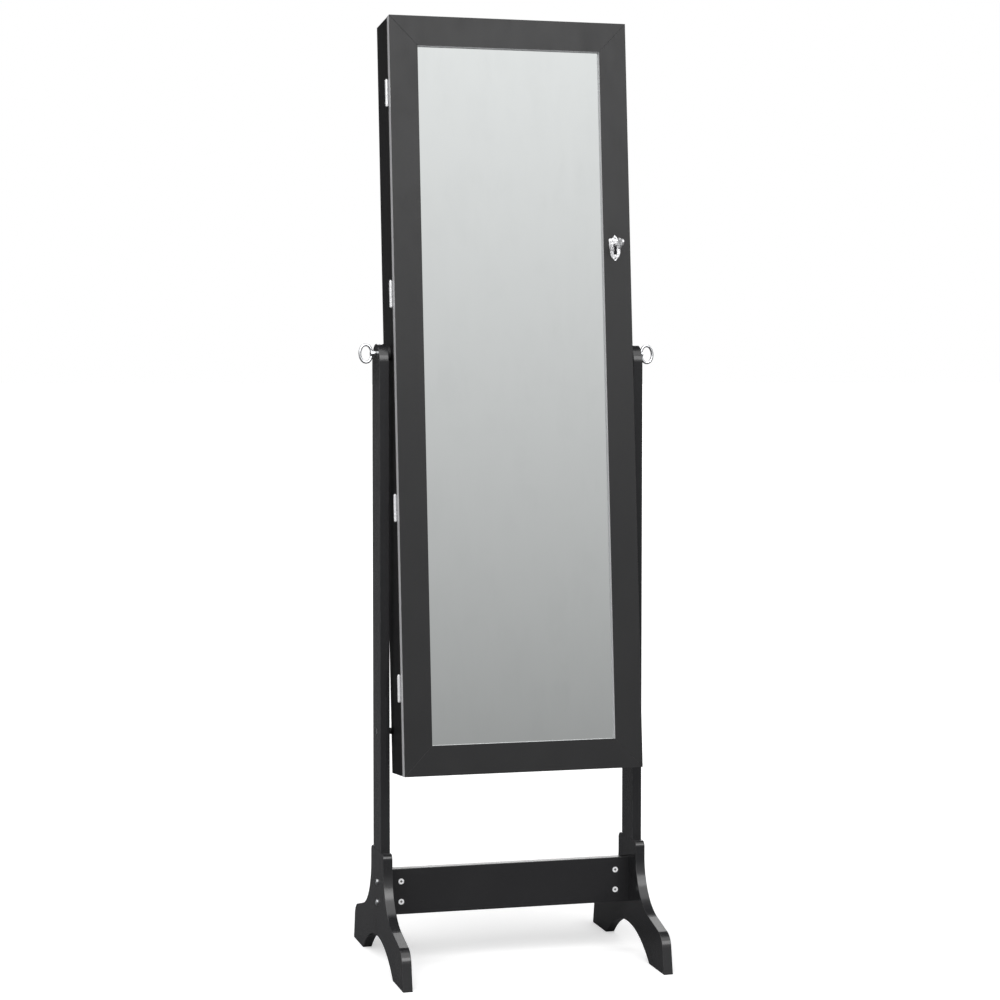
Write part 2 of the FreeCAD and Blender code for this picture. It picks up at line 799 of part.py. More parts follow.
def screw_heights(middle):
    return (middle - hinge_screw_pitch / 2, middle + hinge_screw_pitch / 2)


def cabinet_hinge_leaves():
    leaves = []
    for middle in hinge_heights():
        leaf = hinge_leaf_half(middle, 0, box_front - hinge_leaf, box_front, pin_radius)
        for z in screw_heights(middle):
            leaf = leaf.cut(hinge_screw(z, box_front - hinge_leaf, 1))
        leaves.append(leaf)
    return group(leaves)


def door_hinge_leaves():
    leaves = []
    for middle in hinge_heights():
        leaf = hinge_leaf_half(middle, 1, door_back, door_back + hinge_leaf, pin_radius + pin_clearance)
        for z in screw_heights(middle):
            leaf = leaf.cut(hinge_screw(z, door_back + hinge_leaf, -1))
        leaves.append(leaf)
    return group(leaves)


def hinge_pins():
    low = hinge_length / 2
    pins = []
    for middle in hinge_heights():
        pin = span_z(pin_radius, hinge_x, hinge_y, middle - low, middle + low)
        caps = [Part.makeCone(pin_cap_radius, pin_radius, pin_cap_height,
                              FreeCAD.Vector(hinge_x, hinge_y, middle + side * low), AXIS_Z * side)
                for side in (-1, 1)]
        pins.append(joined([pin] + caps))
    return group(pins)


def hinge_screw(z, face, direction):
    """Countersunk screw whose head is flush with face and whose shank runs along direction * Y."""
    start = FreeCAD.Vector(hinge_screw_x(), face, z)
    head = Part.makeCone(hinge_screw_head_radius, hinge_screw_radius, hinge_leaf, start, AXIS_Y * direction)
    shank = Part.makeCylinder(hinge_screw_radius, hinge_screw_length, start, AXIS_Y * direction)
    return joined([head, shank])


def hinge_screws(face, direction):
    return [hinge_screw(z, face, direction) for middle in hinge_heights() for z in screw_heights(middle)]


def drilled(shape, screws):
    for screw in screws:
        shape = shape.cut(screw)
    return shape


# ---------------------------------------------------------------- door
def rebate():
    """Room behind the frame's lip for the mirror, its backing and the lining."""
    return box(-opening_half_width - rebate_width, opening_half_width + rebate_width, mirror_front,
               door_back + beyond, opening_bottom - rebate_width, opening_top + rebate_width)


def mitre_grooves():
    """Fine V-grooves along the front of the four mitred joints."""
    grooves = []
    for side in (-1, 1):
        for outer, inner in ((above_pivot, opening_top), (-below_pivot, opening_bottom)):
            start = FreeCAD.Vector(side * half_width, door_front, outer)
            run = FreeCAD.Vector(side * opening_half_width, door_front, inner) - start
            along = FreeCAD.Vector(run).normalize()
            across = along.cross(AXIS_Y)
            first = start - along * beyond
            corners = [first + across * mitre_groove, first + AXIS_Y * mitre_groove,
                       first - across * mitre_groove, first - AXIS_Y * mitre_groove]
            diamond = Part.makePolygon(corners + corners[:1])
            grooves.append(Part.Face(diamond).extrude(run + along * (2 * beyond)))
    return grooves


def stile(side):
    corners = [(side * half_width, above_pivot), (side * opening_half_width, opening_top),
               (side * opening_half_width, opening_bottom), (side * half_width, -below_pivot)]
    board_piece = plate_xz(corners, door_front, door_back)
    outer = side * half_width
    board_piece = eased(board_piece, frame_arris, lambda edge: lies_at_x(edge, outer)
                        and runs_along(edge, AXIS_Z))
    return drilled(board_piece.cut(rebate()), mitre_grooves())


def rail(z_outer, z_inner):
    corners = [(-half_width, z_outer), (half_width, z_outer), (opening_half_width, z_inner),
               (-opening_half_width, z_inner)]
    return drilled(plate_xz(corners, door_front, door_back).cut(rebate()), mitre_grooves())


def left_stile():
    return drilled(stile(-1), hinge_screws(door_back + hinge_leaf, -1))


def right_stile():
    return drilled(stile(1).cut(lock_pocket()), escutcheon_pin_shanks())


def door_panel(y0, y1):
    reach = rebate_width - rebate_play
    return box(-opening_half_width - reach, opening_half_width + reach, y0, y1,
               opening_bottom - reach, opening_top + reach)


def mirror_glass():
    return door_panel(mirror_front, mirror_front + mirror_thickness)


def mirror_backing():
    start = mirror_front + mirror_thickness
    return door_panel(start, start + backing_thickness)


def lining_back():
    return mirror_front + mirror_thickness + backing_thickness + lining_thickness


def door_lining():
    return door_panel(lining_back() - lining_thickness, lining_back())


def door_hook_rail():
    half = door_hook_rail_width / 2
    top = opening_top - hook_rail_drop
    rail_board = box(-half, half, lining_back(), lining_back() + door_hook_rail_thickness,
                     top - door_hook_rail_height, top)
    return eased(rail_board, door_hook_rail_rounding, lambda edge: runs_along(edge, AXIS_X)
                 and edge.BoundBox.YMin > lining_back() + beyond)


def door_hooks():
    face = lining_back() + door_hook_rail_thickness
    z = opening_top - hook_rail_drop - door_hook_rail_height / 2
    pitch = door_hook_rail_width / door_hook_count
    hooks = []
    for k in range(door_hook_count):
        x = -door_hook_rail_width / 2 + (k + 0.5) * pitch
        pin = hook(0, 0, 0, door_hook_reach, hook_rise)
        pin.rotate(FreeCAD.Vector(0, 0, 0), AXIS_Z, 180)
        pin.translate(FreeCAD.Vector(x, face, z))
        hooks.append(pin)
    return group(hooks)


# ---------------------------------------------------------------- lock and key
def keyhole(y0, y1, play):
    """Round hole with a slot below it, as the key's shank and bit need."""
    half = keyhole_slot_half_width + play
    slot = box(lock_x - half, lock_x + half, y0, y1, lock_z - keyhole_slot_length - play, lock_z)
    return joined([span_y(keyhole_radius + play, lock_x, y0, y1, lock_z), slot])


def lock_pocket():
    """Bore from the door's back for the lock case, with a larger keyhole through the skin in front."""
    pocket = span_y(lock_case_radius, lock_x, door_front + lock_skin, door_back + beyond, lock_z)
    screws = joined([span_y(lock_screw_radius, lock_x, door_back - lock_screw_length, door_back + beyond, z)
                     for z in lock_screw_heights()])
    front = keyhole(door_front - beyond, door_front + lock_skin + beyond, keyhole_play)
    return pocket.fuse(front).fuse(screws)


def lock_screw_heights():
    return (lock_z - lock_screw_from_middle, lock_z + lock_screw_from_middle)


def lock_case():
    half_height = lock_screw_from_middle + flange_past_screws
    face = door_back + flange_thickness
    tube = span_y(lock_case_radius, lock_x, door_front + lock_skin, door_back, lock_z)
    flange = box(lock_x - flange_half_width, lock_x + flange_half_width, door_back, face,
                 lock_z - half_height, lock_z + half_height)
    case = joined([tube, flange])
    case = case.cut(span_y(lock_plug_radius + plug_clearance, lock_x, door_front, face + beyond, lock_z))
    for z in lock_screw_heights():
        case = case.cut(span_y(lock_screw_radius, lock_x, door_back - beyond, face + beyond, z))
    return case


def lock_screws():
    face = door_back + flange_thickness
    screws = []
    for z in lock_screw_heights():
        shank = span_y(lock_screw_radius, lock_x, door_back - lock_screw_length, face, z)
        head = span_y(lock_screw_head_radius, lock_x, face, face + lock_screw_head_height, z)
        screws.append(joined([shank, head]))
    return group(screws)


def escutcheon_middle():
    return lock_z - keyhole_above_centre


def escutcheon_outline(y, margin):
    """Shield with a point at the top and bottom, square shoulders and a drawn-in lower half."""
    w = escutcheon_half_width - margin
    h = escutcheon_half_height - escutcheon_tip_share * margin

    def spots(side, shares):
        return [FreeCAD.Vector(lock_x + side * u * w, y, escutcheon_middle() + v * h) for u, v in shares]

    edges = []
    for side in (1, -1):
        for shares in (escutcheon_shoulder, escutcheon_corner, escutcheon_hip, escutcheon_tip):
            edges.append(Part.Arc(*spots(side, shares)).toShape())
        top, middle, bottom = spots(side, escutcheon_waist)
        edges.append(Part.LineSegment(top, middle).toShape())
        edges.append(Part.LineSegment(middle, bottom).toShape())
    return Part.Wire(Part.__sortEdges__(edges))


def escutcheon():
    rim = Part.Face(escutcheon_outline(door_front, 0)).extrude(AXIS_Y * -escutcheon_rim)
    raised = Part.Face(escutcheon_outline(door_front, escutcheon_margin))
    field = raised.extrude(AXIS_Y * -escutcheon_thickness)
    plate = joined([rim, field])
    front = door_front - escutcheon_thickness - beyond
    plate = plate.cut(keyhole(front, door_front + beyond, 0))
    for z in escutcheon_pin_heights():
        plate = plate.cut(span_y(escutcheon_pin_radius, lock_x, front, door_front + beyond, z))
    return plate


def escutcheon_pin_heights():
    return [escutcheon_middle() + share * escutcheon_half_height for share in escutcheon_pin_places]


def escutcheon_pin_shanks():
    return [span_y(escutcheon_pin_radius, lock_x, door_front - escutcheon_thickness,
                   door_front + escutcheon_pin_bite, z) for z in escutcheon_pin_heights()]


def escutcheon_pins():
    pins = []
    face = door_front - escutcheon_thickness
    for z, shank in zip(escutcheon_pin_heights(), escutcheon_pin_shanks()):
        around = escutcheon_pin_head + beyond
        dome = Part.makeSphere(escutcheon_pin_head, FreeCAD.Vector(lock_x, face, z))
        dome = dome.cut(box(lock_x - around, lock_x + around, face, face + around, z - around, z + around))
        pins.append(joined([shank, dome]))
    return group(pins)


def lock_plug():
    front = door_front + lock_skin + plug_front_play
    plug = span_y(lock_plug_radius, lock_x, front, plug_back, lock_z)
    depth = door_front + key_inside + key_end_play
    hole = span_y(key_shank_radius + key_clearance, lock_x, front - beyond, depth, lock_z)
    half = key_bit_thickness / 2 + key_clearance
    slot = box(lock_x - half, lock_x + half, front - beyond, depth,
               lock_z - key_bit_radius - key_bit_play, lock_z)
    plug = plug.cut(hole).cut(slot)
    return plug.cut(span_y(cam_screw_shank, lock_x, plug_back - cam_screw_bite, plug_back, lock_z))


def lock_cam():
    back = plug_back + cam_thickness
    half = cam_width / 2
    arm = box(lock_x - half, lock_x + half, plug_back, back, lock_z - cam_length + half, lock_z)
    disc = span_y(half, lock_x, plug_back, back, lock_z)
    tip = span_y(half, lock_x, plug_back, back, lock_z - cam_length + half)
    cam = joined([arm, disc, tip])
    return cam.cut(span_y(cam_screw_shank, lock_x, plug_back - beyond, back + beyond, lock_z))


def cam_screw():
    face = plug_back + cam_thickness
    shank = span_y(cam_screw_shank, lock_x, plug_back - cam_screw_bite, face, lock_z)
    head = span_y(cam_screw_radius, lock_x, face, face + cam_screw_height, lock_z)
    reach = cam_screw_radius + beyond
    slot = box(lock_x - reach, lock_x + reach, face + cam_screw_height - cam_screw_slot,
               face + cam_screw_height + beyond, lock_z - cam_screw_slot / 2, lock_z + cam_screw_slot / 2)
    return joined([shank, head]).cut(slot)


def key():
    """Key with a round shank, a flat bit and a bow of three lobes, in the lock with its bit down."""
    outside = door_front - key_neck
    tip = door_front + key_inside
    shank = span_y(key_shank_radius, lock_x, outside, tip, lock_z)
    half = key_bit_thickness / 2
    bit_end = tip - key_bit_from_tip
    bit = box(lock_x - half, lock_x + half, bit_end - key_bit_length, bit_end,
              lock_z - key_bit_radius, lock_z)
    collars = [span_y(key_shank_radius + key_collar_rise, lock_x, outside + place,
                      outside + place + key_collar_width, lock_z) for place in key_collar_places]
    x0, x1 = lock_x - key_bow_thickness / 2, lock_x + key_bow_thickness / 2
    lobe = key_bow_height * key_lobe_share
    ring = key_bow_height * key_lobe_hole_share
    far = outside - key_bow_length + lobe
    near = outside - lobe
    discs = []
    holes = []
    for y, z in ((far, lock_z), (near, lock_z + key_bow_height / 2 - lobe),
                 (near, lock_z - key_bow_height / 2 + lobe)):
        discs.append(span_x(lobe, x0, x1, y, z))
        holes.append(span_x(ring, x0 - beyond, x1 + beyond, y, z))
    middle = span_x(key_bow_height * key_middle_share, x0, x1, (far + near) / 2, lock_z)
    stem = box(x0, x1, far, outside + beyond, lock_z - key_stem_half_width, lock_z + key_stem_half_width)
    body = joined([shank, bit] + collars + discs + [middle, stem])
    return drilled(body, holes)


# ---------------------------------------------------------------- every sub-part, by name
def stand_parts():
    return {
        "left_foot_board": foot_board(-1),
        "right_foot_board": foot_board(1),
        "left_post": post(-1),
        "right_post": post(1),
        "post_dowels": post_dowels(),
        "stretcher_board": stretcher_board(),
        "stretcher_bolts": stretcher_bolts(),
        "barrel_nuts": barrel_nuts(),
        "stop_pegs": stop_pegs(),
        "stop_peg_screws": stop_peg_screws(),
        "pivot_bushes": pivot_bushes(),
    }


def hung_parts():
    cabinet_screws = hinge_screws(box_front - hinge_leaf, 1)
    door_screws = hinge_screws(door_back + hinge_leaf, -1)
    return {
        "left_side_panel": drilled(side_panel(-1), cabinet_screws),
        "right_side_panel": side_panel(1),
        "top_panel": top_panel(),
        "bottom_panel": bottom_panel(),
        "back_panel": back_panel(),
        "back_linings": back_linings(),
        "shelf_boards": shelf_boards(),
        "shelf_linings": shelf_linings(),
        "shelf_rails": shelf_rails(),
        "bin_front": bin_front(),
        "ring_rolls": ring_rolls(),
        "earring_bars": earring_bars(),
        "hook_rail": hook_rail(),
        "necklace_hooks": necklace_hooks(),
        "bracelet_rod": bracelet_rod(),
        "rod_sockets": rod_sockets(),
        "pivot_inserts": pivot_inserts(),
        "strike_plate": strike_plate(),
        "door_bumpers": door_bumpers(),
        "magnet_catch": magnet_catch(),
        "cabinet_hinge_leaves": cabinet_hinge_leaves(),
        "hinge_pins": hinge_pins(),
        "cabinet_hinge_screws": group(cabinet_screws),
        "left_stile": left_stile(),
        "right_stile": right_stile(),
        "top_rail": rail(above_pivot, opening_top),
        "bottom_rail": rail(-below_pivot, opening_bottom),
        "mirror_glass": mirror_glass(),
        "mirror_backing": mirror_backing(),
        "door_lining": door_lining(),
        "door_hook_rail": door_hook_rail(),
        "door_hooks": door_hooks(),
        "door_hinge_leaves": door_hinge_leaves(),
        "door_hinge_screws": group(door_screws),
        "magnet_plate": magnet_plate(),
        "lock_case": lock_case(),
        "lock_screws": lock_screws(),
        "escutcheon": escutcheon(),
        "escutcheon_pins": escutcheon_pins(),
        "lock_plug": lock_plug(),
        "lock_cam": lock_cam(),
        "cam_screw": cam_screw(),
        "key": key(),
        "left_ring_bolt": ring_bolt(-1),
        "right_ring_bolt": ring_bolt(1),
    }


os.makedirs("parts", exist_ok=True)
nodes = stand_parts()
nodes.update({name: leaned(shape) for name, shape in hung_parts().items()})
for name, shape in nodes.items():
    if not shape.isValid():
        print("invalid shape:", name)
    shape.exportStep("parts/" + name + ".step")
print(len(nodes), "parts, lean", round(math.degrees(lean), 2), "degrees")
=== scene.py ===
import json
import math

import bpy
from mathutils import Matrix, Vector


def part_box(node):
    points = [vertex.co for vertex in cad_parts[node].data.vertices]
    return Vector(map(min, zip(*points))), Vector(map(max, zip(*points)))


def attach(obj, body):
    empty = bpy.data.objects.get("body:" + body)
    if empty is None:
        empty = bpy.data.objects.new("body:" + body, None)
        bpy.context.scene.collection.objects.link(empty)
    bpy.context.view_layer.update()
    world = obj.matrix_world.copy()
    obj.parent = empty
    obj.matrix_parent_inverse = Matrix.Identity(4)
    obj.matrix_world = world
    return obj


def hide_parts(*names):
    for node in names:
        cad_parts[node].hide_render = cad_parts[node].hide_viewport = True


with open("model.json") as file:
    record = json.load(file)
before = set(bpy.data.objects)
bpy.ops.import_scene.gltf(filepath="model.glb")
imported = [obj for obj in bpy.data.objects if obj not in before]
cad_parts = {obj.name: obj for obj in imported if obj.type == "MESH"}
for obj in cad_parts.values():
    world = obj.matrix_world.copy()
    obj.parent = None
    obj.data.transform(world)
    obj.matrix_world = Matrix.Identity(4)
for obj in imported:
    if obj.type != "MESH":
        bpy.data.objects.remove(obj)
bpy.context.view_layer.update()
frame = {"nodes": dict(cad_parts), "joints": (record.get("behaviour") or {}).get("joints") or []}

nodes = frame["nodes"]


# ---------------------------------------------------------------- places taken from the frame
def joint(name):
    return next(j for j in frame["joints"] if j["name"] == name)


PIVOT = Vector(joint("cabinet_tilt")["pos_m"])
UP = -Vector(joint("door_hinge")["axis"])               # along the leaning cabinet, towards its top
BACK = -Vector(joint("lock_turn")["axis"])              # square to the door, from its front to its back
LEAN = Matrix((Vector((1, 0, 0)), BACK, UP)).transposed()


# ---------------------------------------------------------------- shader parts
def clean_material(name):
    mat = bpy.data.materials.new(name)
    mat.use_nodes = True
    tree = mat.node_tree
    tree.nodes.clear()
    out = tree.nodes.new("ShaderNodeOutputMaterial")
    shader = tree.nodes.new("ShaderNodeBsdfPrincipled")
    tree.links.new(shader.outputs["BSDF"], out.inputs["Surface"])
    return mat, tree, shader


def plain(shader, **values):
    for name, value in values.items():
        shader.inputs[name.replace("_", " ")].default_value = value


def group_tree(name, inputs, outputs):
    tree = bpy.data.node_groups.new(name, "ShaderNodeTree")
    for label, kind, default in inputs:
        socket = tree.interface.new_socket(label, in_out="INPUT", socket_type=kind)
        if default is not None:
            socket.default_value = default
    for label, kind in outputs:
        tree.interface.new_socket(label, in_out="OUTPUT", socket_type=kind)
    return tree, tree.nodes.new("NodeGroupInput"), tree.nodes.new("NodeGroupOutput")


FLOAT, COLOR, VECTOR = "NodeSocketFloat", "NodeSocketColor", "NodeSocketVector"


def noise(tree, scale, detail=3.0, rough=0.5, vector=None):
    node = tree.nodes.new("ShaderNodeTexNoise")
    node.inputs["Scale"].default_value = scale
    node.inputs["Detail"].default_value = detail
    node.inputs["Roughness"].default_value = rough
    if vector is not None:
        tree.links.new(vector, node.inputs["Vector"])
    return node.outputs["Fac"]


def remap(tree, value, from_low, from_high, to_low, to_high):
    node = tree.nodes.new("ShaderNodeMapRange")
    for label, number in (("From Min", from_low), ("From Max", from_high), ("To Min", to_low),
                          ("To Max", to_high)):
        node.inputs[label].default_value = number
    tree.links.new(value, node.inputs["Value"])
    return node.outputs["Result"]


def math_node(tree, operation, a, b):
    node = tree.nodes.new("ShaderNodeMath")
    node.operation = operation
    for socket, value in zip(node.inputs, (a, b)):
        if isinstance(value, (int, float)):
            socket.default_value = value
        else:
            tree.links.new(value, socket)
    return node.outputs[0]


def mix_color(tree, factor, a, b):
    node = tree.nodes.new("ShaderNodeMix")
    node.data_type = "RGBA"
    if isinstance(factor, (int, float)):
        node.inputs["Factor"].default_value = factor
    else:
        tree.links.new(factor, node.inputs["Factor"])
    for label, value in (("A", a), ("B", b)):
        socket = next(s for s in node.inputs if s.name == label and s.type == "RGBA")
        if isinstance(value, tuple):
            socket.default_value = (*value, 1.0)
        else:
            tree.links.new(value, socket)
    return next(s for s in node.outputs if s.type == "RGBA")


def bump(tree, shader, height, distance, strength):
    node = tree.nodes.new("ShaderNodeBump")
    node.inputs["Distance"].default_value = distance
    node.inputs["Strength"].default_value = strength
    tree.links.new(height, node.inputs["Height"])
    tree.links.new(node.outputs["Normal"], shader.inputs["Normal"])


def object_coords(tree):
    """Place of a point on the piece itself."""
    return tree.nodes.new("ShaderNodeTexCoord").outputs["Object"]


def place_group(tree, group, **values):
    node = tree.nodes.new("ShaderNodeGroup")
    node.node_tree = group
    for name, value in values.items():
        socket = node.inputs[name.replace("_", " ")]
        if isinstance(value, (int, float)):
            socket.default_value = value
        elif isinstance(value, tuple):
            socket.default_value = (*value, 1.0)
        else:
            tree.links.new(value, socket)
    return node


# ---------------------------------------------------------------- effects that several finishes share
def dotted(tree, a, b):
    node = tree.nodes.new("ShaderNodeVectorMath")
    node.operation = "DOT_PRODUCT"
    tree.links.new(a, node.inputs[0])
    tree.links.new(b, node.inputs[1])
    return node.outputs["Value"]


def stretched(tree, vector, scale):
    node = tree.nodes.new("ShaderNodeMapping")
    node.inputs["Scale"].default_value = scale
    tree.links.new(vector, node.inputs["Vector"])
    return node.outputs["Vector"]


def make_spray_texture():
    """Sprayed lacquer: fine orange peel over a slow waviness of the board under it."""
    tree, given, out = group_tree("spray_texture", [("Place", VECTOR, None), ("Peel Scale", FLOAT, 700.0),
                                                    ("Wave Share", FLOAT, 0.3)], [("Height", FLOAT)])
    peel = tree.nodes.new("ShaderNodeTexNoise")
    peel.inputs["Detail"].default_value = 2.0
    tree.links.new(given.outputs["Place"], peel.inputs["Vector"])
    tree.links.new(given.outputs["Peel Scale"], peel.inputs["Scale"])
    wave = noise(tree, 22.0, 1.0, 0.4, given.outputs["Place"])
    share = math_node(tree, "MULTIPLY", wave, given.outputs["Wave Share"])
    tree.links.new(math_node(tree, "ADD", peel.outputs["Fac"], share), out.inputs["Height"])
    return tree


def make_handling():
    """Smudges from wiping and fingers: long faint streaks broken up by blots."""
    tree, given, out = group_tree("handling", [("Place", VECTOR, None)], [("Mask", FLOAT)])
    streaks = noise(tree, 1.0, 4.0, 0.55, stretched(tree, given.outputs["Place"], (34.0, 34.0, 9.0)))
    blots = noise(tree, 13.0, 3.0, 0.6, given.outputs["Place"])
    both = math_node(tree, "MULTIPLY", remap(tree, streaks, 0.35, 0.7, 0.0, 1.0),
                     remap(tree, blots, 0.4, 0.65, 0.2, 1.0))
    tree.links.new(both, out.inputs["Mask"])
    return tree


def make_arris_wear_and_highlight():
    """Where paint thins on a rounded edge and a painted highlight lies along it: the surface there faces
    neither along Axis nor square to it.
    """
    tree, given, out = group_tree("arris_wear_and_highlight", [("Place", VECTOR, None), ("Facing", VECTOR, None),
                                                 ("Axis", VECTOR, None)], [("Mask", FLOAT)])
    lean = math_node(tree, "ABSOLUTE", dotted(tree, given.outputs["Facing"], given.outputs["Axis"]), 0.0)
    rising = remap(tree, lean, 0.12, 0.45, 0.0, 1.0)
    falling = remap(tree, lean, 0.8, 0.97, 1.0, 0.0)
    broken = remap(tree, noise(tree, 60.0, 4.0, 0.6, given.outputs["Place"]), 0.35, 0.65, 0.25, 1.0)
    band = math_node(tree, "MULTIPLY", rising, falling)
    tree.links.new(math_node(tree, "MULTIPLY", band, broken), out.inputs["Mask"])
    return tree


def make_specks():
    """Small round specks scattered over a surface: dust, pits or chips."""
    tree, given, out = group_tree("specks", [("Place", VECTOR, None), ("Scale", FLOAT, 300.0),
                                             ("Size", FLOAT, 0.12)], [("Mask", FLOAT)])
    cells = tree.nodes.new("ShaderNodeTexVoronoi")
    tree.links.new(given.outputs["Place"], cells.inputs["Vector"])
    tree.links.new(given.outputs["Scale"], cells.inputs["Scale"])
    inside = math_node(tree, "LESS_THAN", cells.outputs["Distance"], given.outputs["Size"])
    some = remap(tree, noise(tree, 40.0, 2.0, 0.5, given.outputs["Place"]), 0.5, 0.62, 0.0, 1.0)
    tree.links.new(math_node(tree, "MULTIPLY", inside, some), out.inputs["Mask"])
    return tree


def make_polish_lines():
    """Fine lines left by brushing or turning, long in one direction."""
    tree, given, out = group_tree("polish_lines", [("Place", VECTOR, None)], [("Mask", FLOAT)])
    lines = noise(tree, 1.0, 5.0, 0.7, stretched(tree, given.outputs["Place"], (2600.0, 2600.0, 140.0)))
    tree.links.new(remap(tree, lines, 0.3, 0.7, 0.0, 1.0), out.inputs["Mask"])
    return tree


def make_fibres():
    """Wood or pressed fibre: long grain with a slow drift of tone."""
    tree, given, out = group_tree("fibres", [("Place", VECTOR, None), ("Grain", VECTOR, None)],
                                  [("Mask", FLOAT), ("Height", FLOAT)])
    node = tree.nodes.new("ShaderNodeVectorMath")
    node.operation = "MULTIPLY"
    tree.links.new(given.outputs["Place"], node.inputs[0])
    tree.links.new(given.outputs["Grain"], node.inputs[1])
    grain = noise(tree, 1.0, 6.0, 0.65, node.outputs["Vector"])
    drift = noise(tree, 9.0, 2.0, 0.5, given.outputs["Place"])
    mixed = math_node(tree, "ADD", math_node(tree, "MULTIPLY", grain, 0.75),
                      math_node(tree, "MULTIPLY", drift, 0.25))
    tree.links.new(remap(tree, mixed, 0.35, 0.65, 0.0, 1.0), out.inputs["Mask"])
    tree.links.new(grain, out.inputs["Height"])
    return tree


def make_nap():
    """Velvet: patches where the pile is brushed one way or the other, and the pile's fine tips."""
    tree, given, out = group_tree("nap", [("Place", VECTOR, None)], [("Brushed", FLOAT), ("Height", FLOAT)])
    sweep = noise(tree, 1.0, 3.0, 0.55, stretched(tree, given.outputs["Place"], (24.0, 30.0, 11.0)))
    tips = noise(tree, 2600.0, 2.0, 0.6, given.outputs["Place"])
    rows = noise(tree, 1.0, 2.0, 0.5, stretched(tree, given.outputs["Place"], (900.0, 900.0, 240.0)))
    tree.links.new(remap(tree, sweep, 0.36, 0.64, 0.0, 1.0), out.inputs["Brushed"])
    both = math_node(tree, "ADD", math_node(tree, "MULTIPLY", tips, 0.7),
                     math_node(tree, "MULTIPLY", rows, 0.3))
    tree.links.new(both, out.inputs["Height"])
    return tree


def make_edge_band():
    """Faces that look neither to the front nor to the back of a board: its banded edges."""
    tree, given, out = group_tree("edge_band", [("Facing", VECTOR, None), ("Front", VECTOR, None)],
                                  [("Mask", FLOAT)])
    lean = math_node(tree, "ABSOLUTE", dotted(tree, given.outputs["Facing"], given.outputs["Front"]), 0.0)
    tree.links.new(remap(tree, lean, 0.1, 0.3, 1.0, 0.0), out.inputs["Mask"])
    return tree


SPRAY_TEXTURE = make_spray_texture()
HANDLING = make_handling()
ARRIS_WEAR_AND_HIGHLIGHT = make_arris_wear_and_highlight()
SPECKS = make_specks()
POLISH_LINES = make_polish_lines()
FIBRES = make_fibres()
NAP = make_nap()
EDGE_BAND = make_edge_band()


# ---------------------------------------------------------------- finishes
PEEL_DEPTH = 0.00006                                    # orange peel in the lacquer
LINE_DEPTH = 0.00002                                    # polishing lines in metal
GRAIN_DEPTH = 0.00008                                   # texture of moulded pieces
PILE_DEPTH = 0.00025                                    # tips of the velvet's pile
GLASS_WAVE = 0.0002                                     # slow waves in the mirror
SPECK_TONE = (0.16, 0.16, 0.165)


def surface_inputs(tree):
    """Place and facing of a point on the piece itself."""
    node = tree.nodes.new("ShaderNodeTexCoord")
    return node.outputs["Object"], node.outputs["Normal"]


def constant_vector(tree, vector):
    node = tree.nodes.new("ShaderNodeCombineXYZ")
    for socket, value in zip(node.inputs, vector):
        socket.default_value = value
    return node.outputs["Vector"]


def lacquer(name, dark, light, rough, shine, peel, arris_axis, arris_worn_lit_tone, band=None):
    """Sprayed black lacquer on board, with worn paint and a painted highlight lightening its rounded edges.
    arris_axis is square to the board's faces whose edges are rounded.
    band is the colour of the strip on the board's edges, where it has one."""
    mat, tree, shader = clean_material(name)
    place, facing = surface_inputs(tree)
    smudge = place_group(tree, HANDLING, Place=place).outputs["Mask"]
    texture = place_group(tree, SPRAY_TEXTURE, Place=place, Peel_Scale=peel).outputs["Height"]
    specks = place_group(tree, SPECKS, Place=place, Scale=420.0, Size=0.09).outputs["Mask"]
    # painted highlight together with wear: the rounded edges are lightened towards the arris tone
    wear_and_highlight = place_group(tree, ARRIS_WEAR_AND_HIGHLIGHT, Place=place, Facing=facing,
                       Axis=constant_vector(tree, arris_axis)).outputs["Mask"]
    tone = mix_color(tree, noise(tree, 6.0, 3.0, 0.5, place), dark, light)
    tone = mix_color(tree, math_node(tree, "MULTIPLY", specks, 0.25), tone, SPECK_TONE)
    tone = mix_color(tree, math_node(tree, "MULTIPLY", wear_and_highlight, 0.5), tone, arris_worn_lit_tone)
    if band is not None:
        edges = place_group(tree, EDGE_BAND, Facing=facing,
                            Front=constant_vector(tree, BACK)).outputs["Mask"]
        worn_band = mix_color(tree, noise(tree, 45.0, 4.0, 0.6, place), band, tuple(c * 0.85 for c in band))
        tone = mix_color(tree, edges, tone, worn_band)
    tree.links.new(tone, shader.inputs["Base Color"])
    tree.links.new(remap(tree, smudge, 0.0, 1.0, rough, rough + 0.1), shader.inputs["Roughness"])
    plain(shader, Specular_IOR_Level=shine)
    bump(tree, shader, texture, PEEL_DEPTH, 0.35)
    return mat


def metal(name, bright, dull, rough, lines, spots, bare=1.0, relief=0.0):
    """Plated or polished metal with fine lines and dull spots. bare is the share that shines as bare metal,
    where the rest is a white bloom in the plating, and relief the depth of a pressed pattern."""
    mat, tree, shader = clean_material(name)
    place = object_coords(tree)
    polish = place_group(tree, POLISH_LINES, Place=place).outputs["Mask"]
    bloom = remap(tree, noise(tree, 90.0, 4.0, 0.6, place), 0.4, 0.7, 0.0, spots)
    tree.links.new(mix_color(tree, bloom, bright, dull), shader.inputs["Base Color"])
    rough_value = math_node(tree, "ADD", remap(tree, polish, 0.0, 1.0, rough, rough + lines),
                            math_node(tree, "MULTIPLY", bloom, 0.15))
    tree.links.new(rough_value, shader.inputs["Roughness"])
    plain(shader, Metallic=bare)
    if relief > 0.0:
        dimples = place_group(tree, SPRAY_TEXTURE, Place=place, Peel_Scale=330.0, Wave_Share=0.0)
        bump(tree, shader, dimples.outputs["Height"], relief, 0.8)
    else:
        bump(tree, shader, polish, LINE_DEPTH, 0.2)
    return mat


